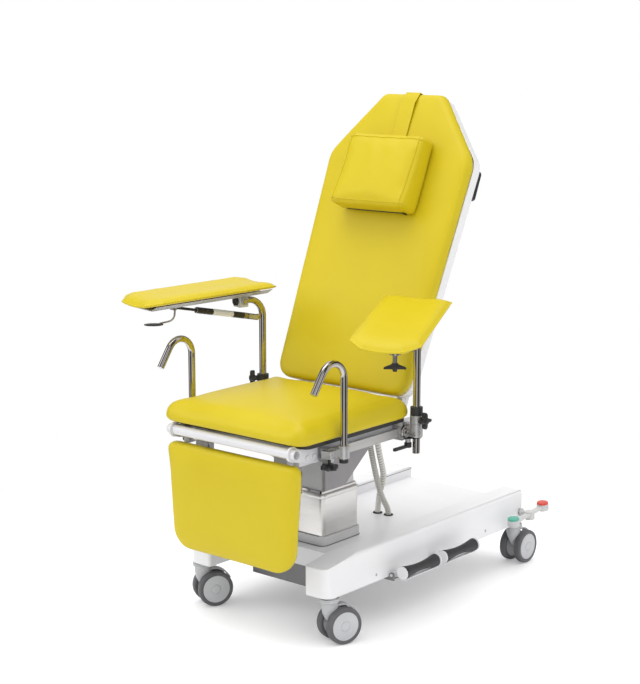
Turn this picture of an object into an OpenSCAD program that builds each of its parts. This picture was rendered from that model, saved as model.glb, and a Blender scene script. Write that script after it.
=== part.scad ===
// Phlebotomy chair on a lifting column, with a wheeled chassis, a seat, a hinged backrest,
// a hinged leg rest, two arm supports, two grab hooks and foot controls.
// +X is the sitter's left, the front faces -Y, and the floor is Z = 0.

/* [Chassis] */
// Distance between the left and right caster stems
track = 462; // [450:1:466]
// Distance between the front and rear caster stems
wheelbase = 866; // [850:1:920]
// Outer width of the chassis cover at its lower edge
chassis_w = 506; // [504:1:530]
// Height of the side rails above the floor
rail_top_z = 225; // [222:1:236]
// Height of the flat deck above the floor
deck_z = 193; // [188:1:198]
// Height of the lower edge of the cover
cover_bottom_z = 128; // [128:1:130]
// Wall thickness of the cover
cover_wall = 4; // [3:0.5:4]

/* [Casters] */
// Diameter of a caster wheel
wheel_d = 100; // [90:1:102]
// Distance from the stem to the wheel axle
trail = 30; // [26:1:34]
// Width over both wheels of one caster
twin_w = 72; // [68:1:76]
// Width of one wheel
wheel_w = 22; // [18:0.5:22]

/* [Column] */
// Side to side size of the outer stage
column_w = 156; // [146:1:164]
// Front to back size of the outer stage
column_d = 158; // [146:1:164]
// Top of the outer stage
outer_top_z = 338; // [320:1:338]

/* [Seat] */
// Width of the seat cushion
seat_w = 504; // [490:1:510]
// Depth of the seat cushion
seat_depth = 469; // [460:1:472]
// Thickness of the seat cushion at its edge
seat_t = 47; // [44:1:49]
// Height of the crown in the middle of the seat cushion
seat_crown = 12; // [8:1:14]

/* [Backrest] */
// Lean of the backrest from upright, in degrees
back_lean = 23.3; // [20:0.1:28]
// Length of the back cushion
back_len = 865; // [840:1:880]
// Width of the back cushion at the shoulders
back_w = 502; // [480:1:506]
// Width of the back cushion at its lower end
back_foot_w = 452; // [430:1:460]
// Width of the back cushion at the top
back_top_w = 200; // [180:1:240]
// Width of the head pillow
pillow_w = 256; // [240:1:270]
// Height of the head pillow
pillow_len = 212; // [200:1:220]

/* [Leg rest] */
// Width of the leg cushion at the top
leg_w = 460; // [440:1:466]
// Length of the leg cushion
leg_len = 290; // [260:1:300]
// Diameter of the round front tube
front_tube_d = 27; // [25:0.5:28]

/* [Arm supports] */
// Length of an arm cushion
pad_len = 436; // [400:1:440]
// Width of an arm cushion
pad_w = 190; // [176:1:200]
// Diameter of an arm post
post_d = 20; // [18:0.5:21]
// Turn of the left arm about its post, in degrees
left_arm_turn = -12.4; // [-20:0.1:0]
// Turn of the right cushion about its stud, in degrees
right_pad_turn = 24; // [16:0.5:26]

/* [Rails and hooks] */
// Height of an accessory rail
rail_h = 25; // [24:1:28]
// Thickness of an accessory rail
rail_t = 10; // [8:0.5:10]
// Diameter of a grab hook tube
hook_d = 19; // [18:0.5:20]
// Height at which a grab hook starts to bend
hook_bend_z = 711; // [690:1:715]

/* [Hidden] */

// Fineness of round parts, and of small or slanted ones
fine = 48;
coarse = 32;
// Overrun of a cut past the face it opens
cut = 1;
// Gap between pieces that lie, slide or turn against each other
gap = 0.3;
// Radial clearance of a pin or shaft in its bore
fit = 0.05;

// The origin is on the floor under the middle of the chair's overall box
origin_x = -14.2;
origin_y = -409.4;
module placed() { translate([origin_x, origin_y, 0]) children(); }
// A mirrored copy for the sitter's right side
module on_side(s) { if (s > 0) children(); else mirror([1, 0, 0]) children(); }

// An outline of points [y, z] drawn across X, from x0 over t
module across_x(x0, t, pts) {
  translate([x0, 0, 0]) rotate([90, 0, 90]) linear_extrude(height = t) polygon(pts);
}
// An outline of points [x, z] drawn across Y, from y0 over t
module across_y(y0, t, pts) {
  translate([0, y0 + t, 0]) rotate([90, 0, 0]) linear_extrude(height = t) polygon(pts);
}
module rod_x(d, x0, x1, y, z) {
  translate([x0, y, z]) rotate([0, 90, 0]) cylinder(d = d, h = x1 - x0, $fn = fine);
}
module rod_y(d, y0, y1, x, z) {
  translate([x, y1, z]) rotate([90, 0, 0]) cylinder(d = d, h = y1 - y0, $fn = fine);
}
module rod_z(d, z0, z1, x, y) {
  translate([x, y, z0]) cylinder(d = d, h = z1 - z0, $fn = fine);
}
module block(x0, x1, y0, y1, z0, z1) {
  translate([x0, y0, z0]) cube([x1 - x0, y1 - y0, z1 - z0]);
}
// A rod of diameter d from point a to point b
module rod_between(d, a, b) {
  v = b - a;
  turn = atan2(v[1], v[0]);
  lean = atan2(norm([v[0], v[1]]), v[2]);
  translate(a) rotate([0, lean, turn]) cylinder(d = d, h = norm(v), $fn = coarse);
}
// A tube bend in the YZ plane that starts upright at [y, z] and turns forward
module bend(d, r, angle, x, y, z) {
  translate([x, y - r, z]) rotate([90, 0, 90])
    rotate_extrude(angle = angle, $fn = 2 * fine) translate([r, 0]) circle(d = d, $fn = fine);
}

// A unit vector, and the points of one rounded corner between two straight edges
function unit(v) = v / norm(v);
function corner(a, p, b, r, n) =
  let (u = unit(a - p), w = unit(b - p), half = acos(u * w) / 2,
       c = p + unit(u + w) * (r / sin(half)),
       s = p + u * (r / tan(half)) - c, e = p + w * (r / tan(half)) - c,
       a0 = atan2(s[1], s[0]), sweep = (atan2(e[1], e[0]) - a0 + 720) % 360)
  [for (i = [0:n]) c + r * [cos(a0 + sweep * i / n), sin(a0 + sweep * i / n)]];
// A convex outline, drawn anticlockwise, with each corner rounded to its own radius
function rounded(pts, radii, n) =
  let (k = len(pts))
  [for (i = [0:k - 1]) each corner(pts[(i + k - 1) % k], pts[i], pts[(i + 1) % k], radii[i], n)];
// The same for upholstery, with each edge drawn in by a little between its corners
draw_shares = [0.2, 0.4, 0.6, 0.8];
function stuffed(pts, radii, n, draw) =
  let (k = len(pts), arcs = [for (i = [0:k - 1])
    corner(pts[(i + k - 1) % k], pts[i], pts[(i + 1) % k], radii[i], n)])
  [for (i = [0:k - 1]) each concat(arcs[i],
    let (s = arcs[i][n], e = arcs[(i + 1) % k][0], d = unit(e - s), inward = [-d[1], d[0]])
    [for (t = draw_shares) s + (e - s) * t + inward * (draw * 4 * t * (1 - t))])];
function box_pts(x0, x1, y0, y1) = [[x0, y0], [x1, y0], [x1, y1], [x0, y1]];
module rounded_plate(pts, radii, z0, z1) {
  translate([0, 0, z0]) linear_extrude(height = z1 - z0) polygon(rounded(pts, radii, 6));
}
// An upright tube of rounded square section
module square_stage(w, d, wall, r, z0, z1) {
  r2 = r - wall;
  difference() {
    rounded_plate(box_pts(-w / 2, w / 2, column_y - d / 2, column_y + d / 2), [r, r, r, r], z0, z1);
    rounded_plate(box_pts(-w / 2 + wall, w / 2 - wall, column_y - d / 2 + wall, column_y + d / 2 - wall),
      [r2, r2, r2, r2], z0 - cut, z1 + cut);
  }
}
// A closed skin over rings of equal count, with a middle point on each end
module loft(rings, first, last) {
  n = len(rings[0]);
  m = len(rings);
  sides = [for (j = [0:m - 2]) for (i = [0:n - 1]) each
    let (p = j * n + i, q = j * n + (i + 1) % n) [[p, p + n, q], [q, p + n, q + n]]];
  bottom = [for (i = [0:n - 1]) [n * m, i, (i + 1) % n]];
  top = [for (i = [0:n - 1]) [n * m + 1, (m - 1) * n + (i + 1) % n, (m - 1) * n + i]];
  polyhedron(points = concat([for (r = rings) each r], [first, last]), faces = concat(sides, bottom, top));
}
// Upholstery on an outline of points [x, y]. Each step is [share of the outline, share of the
// thickness, share of the crown], and lift turns the sides up along X.
cushion_shares = [[0.955, 0, 0], [0.985, 0.06, 0], [1, 0.28, 0], [1, 0.6, 0], [0.988, 0.82, 0],
  [0.96, 0.95, 0], [0.88, 1, 0.12], [0.6, 1, 0.7], [0.3, 1, 0.95]];
pillow_shares = [[0.6, 0, 0], [0.9, 0.06, 0], [0.985, 0.24, 0], [1, 0.42, 0], [0.985, 0.66, 0],
  [0.93, 0.86, 0], [0.78, 1, 0.35], [0.5, 1, 0.85], [0.25, 1, 0.97]];
module cushion(pts, shares, t, crown, mid, lift) {
  half = max([for (p = pts) p[0] - mid[0]]);
  function at(p, s) = [mid[0] + (p[0] - mid[0]) * s[0], mid[1] + (p[1] - mid[1]) * s[0],
    t * s[1] + crown * s[2] + lift * pow((p[0] - mid[0]) * s[0] / half, 2)];
  loft([for (s = shares) [for (p = pts) at(p, s)]], [mid[0], mid[1], 0], [mid[0], mid[1], t + crown]);
}
// A star knob that grips along Z, from 0 to t, with lobes round its rim
hub_share = 0.36;
lobe_share = 0.16;
module star(d, t, lobes) {
  linear_extrude(height = t) union() {
    circle(r = d * hub_share, $fn = coarse);
    for (i = [0:lobes - 1]) rotate(360 * i / lobes)
      translate([d / 2 - d * lobe_share, 0]) circle(r = d * lobe_share, $fn = coarse);
  }
}

// Chassis cover: a white moulding, open below, with two legs, a deck and raised sides
front_y = 2;
rear_y = front_y + wheelbase;
leg_nose = 31;
tail = 30;
cover_y0 = front_y - leg_nose;
cover_y1 = rear_y + tail;
side_in = 172;
side_foot = chassis_w / 2;
side_draft = 9;
side_top = side_foot - side_draft;
beam_y = 118;
cross_bottom_z = 141;
cover_r = 28;
inner_r = 8;
brow_r = 13;
nose_drop = 17;
slope_y = 112;
shaft_hole_d = 18;
column_y = 237;
column_r = 14;
conduit_a = [31, 512];
conduit_b = [-7, 509];
grommet_d = 28;
grommet_hole_d = 20;
module side_plan(k) {
  y0 = cover_y0 + k;
  y1 = cover_y1 - k;
  r = cover_r - k;
  polygon(rounded(box_pts(side_in + k, side_foot - k, y0, y1), [inner_r, r, r, inner_r], 6));
}
module side_shell(k) {
  lower = cover_bottom_z - (k > 0 ? cut : 0);
  upper = rail_top_z - k;
  y0 = cover_y0 - cut;
  y1 = cover_y1 + cut;
  intersection() {
    translate([0, 0, lower]) linear_extrude(height = rail_top_z) side_plan(k);
    across_x(side_in - cut, side_foot, rounded([[y0, lower], [y1, lower], [y1, upper], [slope_y, upper],
      [y0, upper - nose_drop]], [cut / 2, cut / 2, brow_r, leg_nose, brow_r / 2], 5));
    across_y(y0, y1 - y0, rounded([[side_in + k, lower], [side_foot - k, lower], [side_top - k, upper],
      [side_in + k, upper]], [cut / 2, cut / 2, brow_r - k, inner_r - k], 5));
  }
}
module chassis_cover() color("whitesmoke") placed() difference() {
  across = side_in + cover_wall;
  rear = cover_y1 - brow_r;
  slot = column_w / 2 + gap;
  slot_d = column_d / 2 + gap;
  union() {
    for (s = [-1, 1]) on_side(s) difference() {
      side_shell(0);
      side_shell(cover_wall);
    }
    block(-across, across, beam_y, rear, deck_z - cover_wall, deck_z);
    block(-across, across, beam_y, beam_y + cover_wall, cross_bottom_z, deck_z);
    block(-across, across, rear - cover_wall, rear, cross_bottom_z, deck_z);
  }
  rounded_plate(box_pts(-slot, slot, column_y - slot_d, column_y + slot_d),
    [column_r, column_r, column_r, column_r], deck_z - cover_wall - cut, deck_z + cut);
  for (c = [conduit_a, conduit_b]) rod_z(grommet_hole_d, deck_z - cover_wall - cut, deck_z + cut, c[0],
      c[1]);
  rod_x(shaft_hole_d, side_top - brow_r, side_foot + cut, lock_y, lock_z);
  for (s = [-1, 1]) on_side(s) for (y = beam_ys)
    block(side_in - cut, side_in + cover_wall + cut, y - gap, y + beam_w + gap, cover_bottom_z - cut,
        beam_z1 + gap);
}

// Base frame: welded steel tubes inside the cover, a cup for each caster stem, the grey foot box,
// a bearing for the lock shaft and a bracket for each pedal
beam_in = 188;
beam_out = 224;
beam_w = 32;
beam_z0 = 130;
beam_z1 = 152;
foot_half = 150;
foot_y1 = 352;
foot_bottom_z = 81;
foot_wall = 3;
beam_ys = [beam_y + cover_wall + gap, foot_y1 - beam_w, rear_y - 2 * beam_w];
stem_d = 14;
cup_d = 26;
lock_y = 873;
lock_z = 162;
lock_shaft_d = 14;
bearing_r = 12;
pedal_y0s = [218, 400];
pedal_span = 158;
pedal_pivot_x = 264;
pedal_pivot_z = 134;
pedal_pin_d = 8;
ear_r = 8;
ear_t = 5;
ear_inset = 7;
ear_pitch = 30;
bracket_t = 8;
module base_frame() color("dimgray") placed() {
  frame_y = beam_ys[0];
  difference() {
    union() {
      for (s = [-1, 1]) on_side(s) {
        block(beam_in, beam_out, front_y - cup_d / 2, lock_y + bearing_r, beam_z0, beam_z1);
        for (y = [front_y, rear_y]) rod_z(cup_d, cover_bottom_z, beam_z1, track / 2, y);
      }
      for (y = beam_ys)
        block(-beam_out, beam_out, y, y + beam_w, beam_z0, beam_z1);
      block(beam_in, beam_out - cover_wall, lock_y - bearing_r, lock_y + bearing_r, beam_z1 - cut,
          lock_z + bearing_r);
      difference() {
        block(-foot_half, foot_half, frame_y, foot_y1, foot_bottom_z, beam_z1);
        block(-foot_half + foot_wall, foot_half - foot_wall, frame_y + beam_w, foot_y1 - beam_w,
          foot_bottom_z + foot_wall, beam_z1 + cut);
      }
      for (y0 = pedal_y0s) {
        y = y0 + ear_inset;
        block(beam_in, pedal_pivot_x, y, y + ear_pitch + ear_t, cover_bottom_z - cut - bracket_t,
            cover_bottom_z - cut);
        block(beam_in, beam_out - bracket_t, y, y + ear_pitch, cover_bottom_z - 2 * cut, beam_z0 + cut);
        for (e = [y, y + ear_pitch]) {
          rod_y(2 * ear_r, e, e + ear_t, pedal_pivot_x, pedal_pivot_z);
          block(pedal_pivot_x - ear_r, pedal_pivot_x + ear_r, e, e + ear_t,
            cover_bottom_z - cut - bracket_t, pedal_pivot_z);
        }
      }
    }
    for (s = [-1, 1]) for (y = [front_y, rear_y])
      rod_z(stem_d + 2 * fit, cover_bottom_z - cut, beam_z1 - foot_wall, s * track / 2, y);
    rod_x(lock_shaft_d + 2 * fit, beam_in - cut, beam_out, lock_y, lock_z);
    for (y0 = pedal_y0s) rod_y(pedal_pin_d + 2 * fit, y0, y0 + pedal_span / 2, pedal_pivot_x,
        pedal_pivot_z);
  }
}

// Column: a grey skirt on the deck and three nested stages
skirt_rim = 6;
skirt_h = 27;
stage_wall = 4;
middle_show = 8;
stage_step = 6;
stage_foot_z = foot_bottom_z + foot_wall;
middle_w = column_w - 2 * stage_wall - 2 * gap;
middle_d = column_d - 2 * stage_wall - 2 * gap;
inner_w = middle_w - 2 * stage_wall - 2 * gap;
inner_d = middle_d - 2 * stage_wall - 2 * gap;
inner_top_z = 470;
module column_skirt() color("silver") placed() difference() {
  w = column_w / 2 + skirt_rim;
  d = column_d / 2 + skirt_rim;
  r = column_r + skirt_rim;
  rounded_plate(box_pts(-w, w, column_y - d, column_y + d), [r, r, r, r], deck_z, deck_z + skirt_h);
  rounded_plate(box_pts(-column_w / 2, column_w / 2, column_y - column_d / 2, column_y + column_d / 2),
    [column_r, column_r, column_r, column_r], deck_z - cut, deck_z + skirt_h + cut);
}
module outer_column() color("gainsboro") placed()
  square_stage(column_w, column_d, stage_wall, column_r, stage_foot_z, outer_top_z);
module middle_column() color("lightsteelblue") placed()
  square_stage(middle_w, middle_d, stage_wall, column_r - stage_wall, stage_foot_z + stage_step,
    outer_top_z + middle_show);
module inner_column() color("whitesmoke") placed()
  square_stage(inner_w, inner_d, stage_wall, column_r - stage_wall - gap,
      stage_foot_z + 2 * stage_step, inner_top_z);

// Casters: a fork with a stem, a collar and a web between two wheels
caster_ids = ["fl", "fr", "rl", "rr"];
caster_turns = [-28, -20, -5, 0];
function caster_at(i) = [(i % 2 == 0 ? -1 : 1) * track / 2, i < 2 ? front_y : rear_y, 0];
collar_d = 54;
collar_z0 = 114;
collar_h = 10;
neck_d = 40;
stem_top_z = 148;
hood_r = 6;
web_t = 24;
boss_d = 30;
axle_d = 10;
axle_z = wheel_d / 2;
tyre_t = 11;
cap_d = 26;
cap_t = 2;
disc_inset = 1;
tyre_r = 5;
module at_caster(i) { placed() translate(caster_at(i)) rotate([0, 0, caster_turns[i]]) children(); }
module caster_fork(i) color("lightgray") at_caster(i) difference() {
  union() {
    rod_z(stem_d, cover_bottom_z - cut, stem_top_z, 0, 0);
    rod_z(neck_d, collar_z0 + collar_h - cut, cover_bottom_z - gap, 0, 0);
    rod_z(collar_d, collar_z0, collar_z0 + collar_h, 0, 0);
    translate([0, 0, collar_z0 - hood_r]) cylinder(d1 = collar_d - 2 * hood_r, d2 = collar_d,
        h = hood_r, $fn = fine);
    across_x(-web_t / 2, web_t, rounded([[-collar_d / 3, collar_z0], [-collar_d / 3,
        collar_z0 - 2 * hood_r],
      [trail - boss_d / 2, axle_z - boss_d / 3], [trail + boss_d / 4, axle_z - boss_d / 2],
      [trail + boss_d / 2, axle_z], [collar_d / 2.2, collar_z0]],
      [cut, 2 * hood_r, hood_r, hood_r, hood_r, cut], 5));
  }
  rod_x(axle_d + 2 * fit, -web_t / 2 - cut, web_t / 2 + cut, trail, axle_z);
}
module caster_wheels(i) color("gray") at_caster(i) {
  half = twin_w / 2;
  rim_d = wheel_d - 2 * tyre_t;
  for (s = [-1, 1]) on_side(s) difference() {
    translate([half - wheel_w, trail, axle_z]) rotate([0, 90, 0]) rotate_extrude($fn = 2 * fine)
      polygon(rounded([[0, 0], [wheel_d / 2, 0], [wheel_d / 2, wheel_w], [0, wheel_w]], [cut, tyre_r,
          tyre_r, cut], 4));
    rod_x(rim_d + 2 * fit, half - wheel_w - cut, half + cut, trail, axle_z);
  }
  rod_x(axle_d, -half + wheel_w / 2, half - wheel_w / 2, trail, axle_z);
  for (s = [-1, 1]) on_side(s) {
    rod_x(rim_d, half - wheel_w + disc_inset, half - disc_inset, trail, axle_z);
    rod_x(cap_d, half - wheel_w / 2, half - disc_inset + cap_t, trail, axle_z);
  }
}

// Two conduits from the deck to the head bracket, one ribbed and one wrapped, each with a grommet.
// The routes are [x, y, z] in the chair's own planes.
route_a = [[31, 512, 193.5], [29, 508, 215], [25, 482, 264], [29, 452, 331], [34, 424, 407], [36, 412,
    455], [36, 411, 487.7]];
route_b = [[-7, 509, 193.5], [-5, 509, 216], [10, 496, 256], [34, 482, 318], [52, 440, 395], [58, 418,
    452], [58, 414, 487.7]];
hose_d = 15;
hose_bore = 10;
rib_depth = 1.6;
ribs_a = 50;
ribs_b = 28;
hose_sides = 8;
grommet_t = 3;
// A smooth curve through the route's points, at t from 0 to the last point
function route_at(r, t) =
  let (n = len(r), k = min(floor(t), n - 2), f = t - k,
       a = r[max(k - 1, 0)], b = r[k], c = r[k + 1], d = r[min(k + 2, n - 1)])
  0.5 * (2 * b + (c - a) * f + (2 * a - 5 * b + 4 * c - d) * f * f + (3 * b - a - 3 * c + d) * f * f * f);
function ring_at(r, t, radius) =
  let (e = 0.01, n = len(r) - 1, w = t < e || t > n - e ? [0, 0, 1]
       : unit(route_at(r, t + e) - route_at(r, t - e)),
       u = unit(cross(w, [0, 1, 0])), v = cross(w, u))
  [for (i = [0:hose_sides - 1]) let (g = 360 * i / hose_sides) route_at(r,
      t) + radius * (cos(g) * u + sin(g) * v)];
module hose(r, ribs) {
  n = len(r) - 1;
  outer = [for (i = [0:2 * ribs]) ring_at(r, n * i / (2 * ribs),
      hose_d / 2 - (i % 2 == 0 ? rib_depth : 0))];
  bore_steps = ceil(ribs / 2);
  bore = [for (i = [0:bore_steps]) ring_at(r, n * (1 - i / bore_steps), hose_bore / 2)];
  rings = concat(outer, bore);
  k = hose_sides;
  m = len(rings);
  polyhedron(points = [for (q = rings) each q], faces = [for (j = [0:m - 1]) for (i = [0:k - 1]) each
    let (a = j * k + i, b = j * k + (i + 1) % k, step = (j + 1) % m * k, c = step + i,
        d = step + (i + 1) % k)
    [[a, c, b], [b, c, d]]]);
}
module conduits() color("dimgray") placed() {
  for (c = [conduit_a, conduit_b]) difference() {
    union() {
      rod_z(grommet_d, deck_z, deck_z + grommet_t, c[0], c[1]);
      rod_z(grommet_hole_d - 2 * gap, deck_z - cover_wall, deck_z + grommet_t, c[0], c[1]);
    }
    rod_z(hose_d + 2 * gap, deck_z, deck_z + grommet_t + cut, c[0], c[1]);
    rod_z(hose_bore, deck_z - cover_wall - cut, deck_z + cut, c[0], c[1]);
  }
  hose(route_a, ribs_a);
  hose(route_b, ribs_b);
}

// Head bracket: two cheeks and a top plate on the inner stage, with a black strut to the seat
head_z0 = 348;
head_z1 = 496;
head_t = 10;
head_plate_t = 8;
head_y0 = column_y - inner_d / 2;
head_y1 = 430;
cheek_foot_y = 252;
cheek_knee_y = 345;
cheek_knee_z = 421;
strut_x = 68;
strut_t = 10;
strut_y = 60;
strut_w = 24;
strut_foot_z = 362;
bolt_d = 14;
bolt_h = 5;
module top_bracket() color("darkgray") placed() {
  cheek = [[head_y0, head_z0], [cheek_foot_y, head_z0], [cheek_knee_y, cheek_knee_z],
    [head_y1, head_z1 - head_plate_t], [head_y1, head_z1], [head_y0, head_z1]];
  for (s = [-1, 1]) on_side(s) across_x(inner_w / 2, head_t, cheek);
  block(-inner_w / 2 - head_t, inner_w / 2 + head_t, strut_y - strut_w / 2, head_y1,
      head_z1 - head_plate_t, head_z1);
  block(strut_x, strut_x + strut_t, strut_y - strut_w / 2, strut_y + strut_w / 2, strut_foot_z,
      head_z1 - cut);
  rod_x(bolt_d, strut_x + strut_t - cut, strut_x + strut_t + bolt_h, strut_y, strut_foot_z + bolt_d);
}

// Seat: a welded frame, end plates, accessory rails, a board and a cushion
side_z0 = 490;
side_z1 = 531;
member_out = 206;
member_w = 20;
member_y0 = -88;
member_y1 = 463;
cross_z0 = head_z1;
cross_ys = [-45, 85, 205, 392];
cross_w = 30;
rear_cross_z1 = 505;
board_t = 12;
board_z0 = 541;
seat_z = board_z0 + board_t + gap;
board_inset = 14;
seat_y0 = -133;
seat_r = 34;
seat_draw = 7;
board_y0 = -94;
hinge_y = 366;
hinge_z = 513;
hinge_pin_d = 14;
leg_axis_y = -119.7;
leg_axis_z = 530.9;
module seat_frame() color("whitesmoke") placed() {
  difference() {
    union() {
      for (s = [-1, 1]) on_side(s) {
        block(member_out - member_w, member_out, member_y0, member_y1, side_z0, side_z1);
        block(member_out - member_w, member_out, board_y0 + member_w, seat_y0 + seat_depth - 2 * member_w,
          side_z1 - cut, board_z0);
      }
      for (y = cross_ys)
        block(-member_out + member_w - cut, member_out - member_w + cut, y, y + cross_w, cross_z0,
          y > hinge_y ? rear_cross_z1 : side_z1);
    }
    for (s = [-1, 1]) on_side(s)
      rod_x(hinge_pin_d + 2 * fit, member_out - member_w - cut, member_out + cut, hinge_y, hinge_z);
  }
}
plate_t = 6;
plate_r = 20;
plate_tail_y = -23;
plate_step_y = -78;
plate_low_z = 500;
module end_plates() color("whitesmoke") placed() for (s = [-1, 1]) on_side(s) {
  difference() {
    union() {
      rod_x(2 * plate_r, member_out, member_out + plate_t, leg_axis_y, leg_axis_z);
      across_x(member_out, plate_t, rounded([[leg_axis_y, leg_axis_z - plate_r], [plate_step_y,
          plate_low_z],
        [plate_tail_y, side_z0], [plate_tail_y, side_z1], [board_y0 - 2 * cut, board_z0 - cut],
            [leg_axis_y, leg_axis_z + plate_r]],
        [cut, cut, plate_t, plate_t, cut, cut], 5));
    }
    rod_x(front_tube_d + 2 * fit, member_out - cut, member_out + plate_t + cut, leg_axis_y, leg_axis_z);
  }
  for (y = [(plate_step_y + plate_tail_y) / 2 - bolt_d, plate_tail_y - bolt_d])
    rod_x(bolt_d, member_out + plate_t + fit, member_out + plate_t + bolt_h / 2, y,
        (side_z0 + side_z1) / 2);
}
rail_in = 216;
rail_y0 = -15;
rail_y1 = 350;
rail_z = 509.5;
spacer_d = 12;
spacer_ys = [35, 168, 300];
screw_h = 2;
module side_rails() color("gainsboro") placed() for (s = [-1, 1]) on_side(s) {
  block(rail_in, rail_in + rail_t, rail_y0, rail_y1, rail_z - rail_h / 2, rail_z + rail_h / 2);
  for (y = spacer_ys) rod_x(spacer_d, member_out, rail_in - fit, y, rail_z);
}
module seat_board() color("dimgray") placed() {
  half = seat_w / 2 - board_inset;
  r = seat_r - board_inset;
  rounded_plate(box_pts(-half, half, board_y0, seat_y0 + seat_depth - board_inset), [r, r, r, r],
      board_z0, board_z0 + board_t);
}
module seat_cushion() color("khaki") placed() translate([0, 0, seat_z])
  cushion(stuffed(box_pts(-seat_w / 2, seat_w / 2, seat_y0, seat_y0 + seat_depth),
    [seat_r, seat_r, seat_r, seat_r], 5, seat_draw), cushion_shares, seat_t, seat_crown,
    [0, seat_y0 + seat_depth / 2], 0);

// Backrest, drawn lying down: X across, Y along the back, Z towards the sitter
back_foot_y = 337.7;
back_foot_z = 599.5;
module on_back() { placed() translate([0, back_foot_y, back_foot_z]) rotate([90 - back_lean, 0,
    0]) children(); }
shoulder_y = 678;
back_off = -4;
back_t = 36;
back_crown = 9;
back_foot_r = 42;
shoulder_r = 60;
back_top_r = 36;
back_draw = 6;
shell_t = 30;
shell_wall = 4;
shell_inset = 1;
shell_gap = 0.3;
function back_pts(k) = let (a = back_foot_w / 2 - k, b = back_w / 2 - k, c = back_top_w / 2 - k,
  y1 = back_len - k) [[-a, k], [a, k], [b, shoulder_y], [c, y1], [-c, y1], [-b, shoulder_y]];
back_radii = [back_foot_r, back_foot_r, shoulder_r, back_top_r, back_top_r, shoulder_r];
module back_cushion() color("khaki") on_back() translate([0, 0, back_off])
  cushion(stuffed(back_pts(0), back_radii, 5, back_draw), cushion_shares, back_t, back_crown,
    [0, back_len / 2], 0);
shell_z1 = back_off - shell_gap;
shell_z0 = shell_z1 - shell_t;
module back_shell() color("whitesmoke") on_back() difference() {
  translate([0, 0, shell_z0]) linear_extrude(height = shell_t)
    polygon(rounded(back_pts(shell_inset), back_radii, 6));
  translate([0, 0, shell_z0 + shell_wall]) linear_extrude(height = shell_t)
    polygon(rounded(back_pts(shell_inset + shell_wall), [for (r = back_radii) r - shell_wall], 6));
}
upright_w = 20;
upright_t = 30;
upright_x1 = member_out - member_w - gap;
upright_x0 = upright_x1 - upright_w;
upright_top = 520;
hub_proud = 2;
torque_d = 25;
stay_ys = [60, 470];
stay_w = 30;
// Where the hinge lies, measured along the back and off it
function off_back(y, z) = let (dy = y - back_foot_y, dz = z - back_foot_z)
  [dy * sin(back_lean) + dz * cos(back_lean), dz * sin(back_lean) - dy * cos(back_lean)];
hinge_at = off_back(hinge_y, hinge_z);
upright_z1 = shell_z0;
upright_z0 = upright_z1 - upright_t;
module back_frame() color("lightgray") {
  on_back() {
    for (s = [-1, 1]) on_side(s)
      block(upright_x0, upright_x1, hinge_at[0], upright_top, upright_z0, upright_z1);
    for (y = stay_ys) block(-upright_x0 - cut, upright_x0 + cut, y, y + stay_w,
        upright_z0 + upright_t / 3, upright_z1);
  }
  placed() {
    for (s = [-1, 1]) on_side(s) {
      rod_x(upright_t, upright_x0 - hub_proud, upright_x1, hinge_y, hinge_z);
      rod_x(hinge_pin_d, upright_x1 - cut, member_out + bolt_h / 2, hinge_y, hinge_z);
    }
    rod_x(torque_d, -upright_x0 - cut, upright_x0 + cut, hinge_y, hinge_z);
  }
}
handle_d = 22;
handle_x = 216;
handle_y0 = 600;
handle_y1 = 667;
handle_z = -72;
module push_handle() color("dimgray") on_back() for (s = [-1, 1]) on_side(s) {
  rod_z(handle_d, handle_z, shell_z0, handle_x, handle_y0);
  rod_z(handle_d, handle_z, shell_z0, handle_x, handle_y1);
  rod_y(handle_d, handle_y0, handle_y1, handle_x, handle_z);
  for (y = [handle_y0, handle_y1]) translate([handle_x, y, handle_z]) sphere(d = handle_d, $fn = coarse);
}
pillow_y0 = 503;
pillow_t = 58;
pillow_crown = 12;
pillow_r = 40;
pillow_draw = 8;
module head_pillow() color("khaki") on_back() translate([0, 0, strap_front_z + strap_t + gap])
  cushion(stuffed(box_pts(-pillow_w / 2, pillow_w / 2, pillow_y0, pillow_y0 + pillow_len),
    [pillow_r, pillow_r, pillow_r, pillow_r], 5, pillow_draw), pillow_shares, pillow_t, pillow_crown,
    [0, pillow_y0 + pillow_len / 2], 0);
strap_w = 50;
strap_t = 2;
strap_front_y = 600;
strap_rear_y = 720;
strap_front_z = back_off + back_t + back_crown + gap;
strap_bend = 35;
strap_brow_share = 0.9;
module pillow_strap() color("khaki") on_back() {
  top = back_len + gap;
  rear = shell_z0 - gap;
  brow = back_off + back_t * strap_brow_share;
  bend_y = back_len - strap_bend;
  across_x(-strap_w / 2, strap_w, [[strap_front_y, strap_front_z], [bend_y, strap_front_z], [top, brow],
    [top, rear], [strap_rear_y, rear], [strap_rear_y, rear - strap_t], [top + strap_t, rear - strap_t],
    [top + strap_t, brow + strap_t / 2], [bend_y + strap_t, strap_front_z + strap_t],
    [strap_front_y, strap_front_z + strap_t]]);
}

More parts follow.
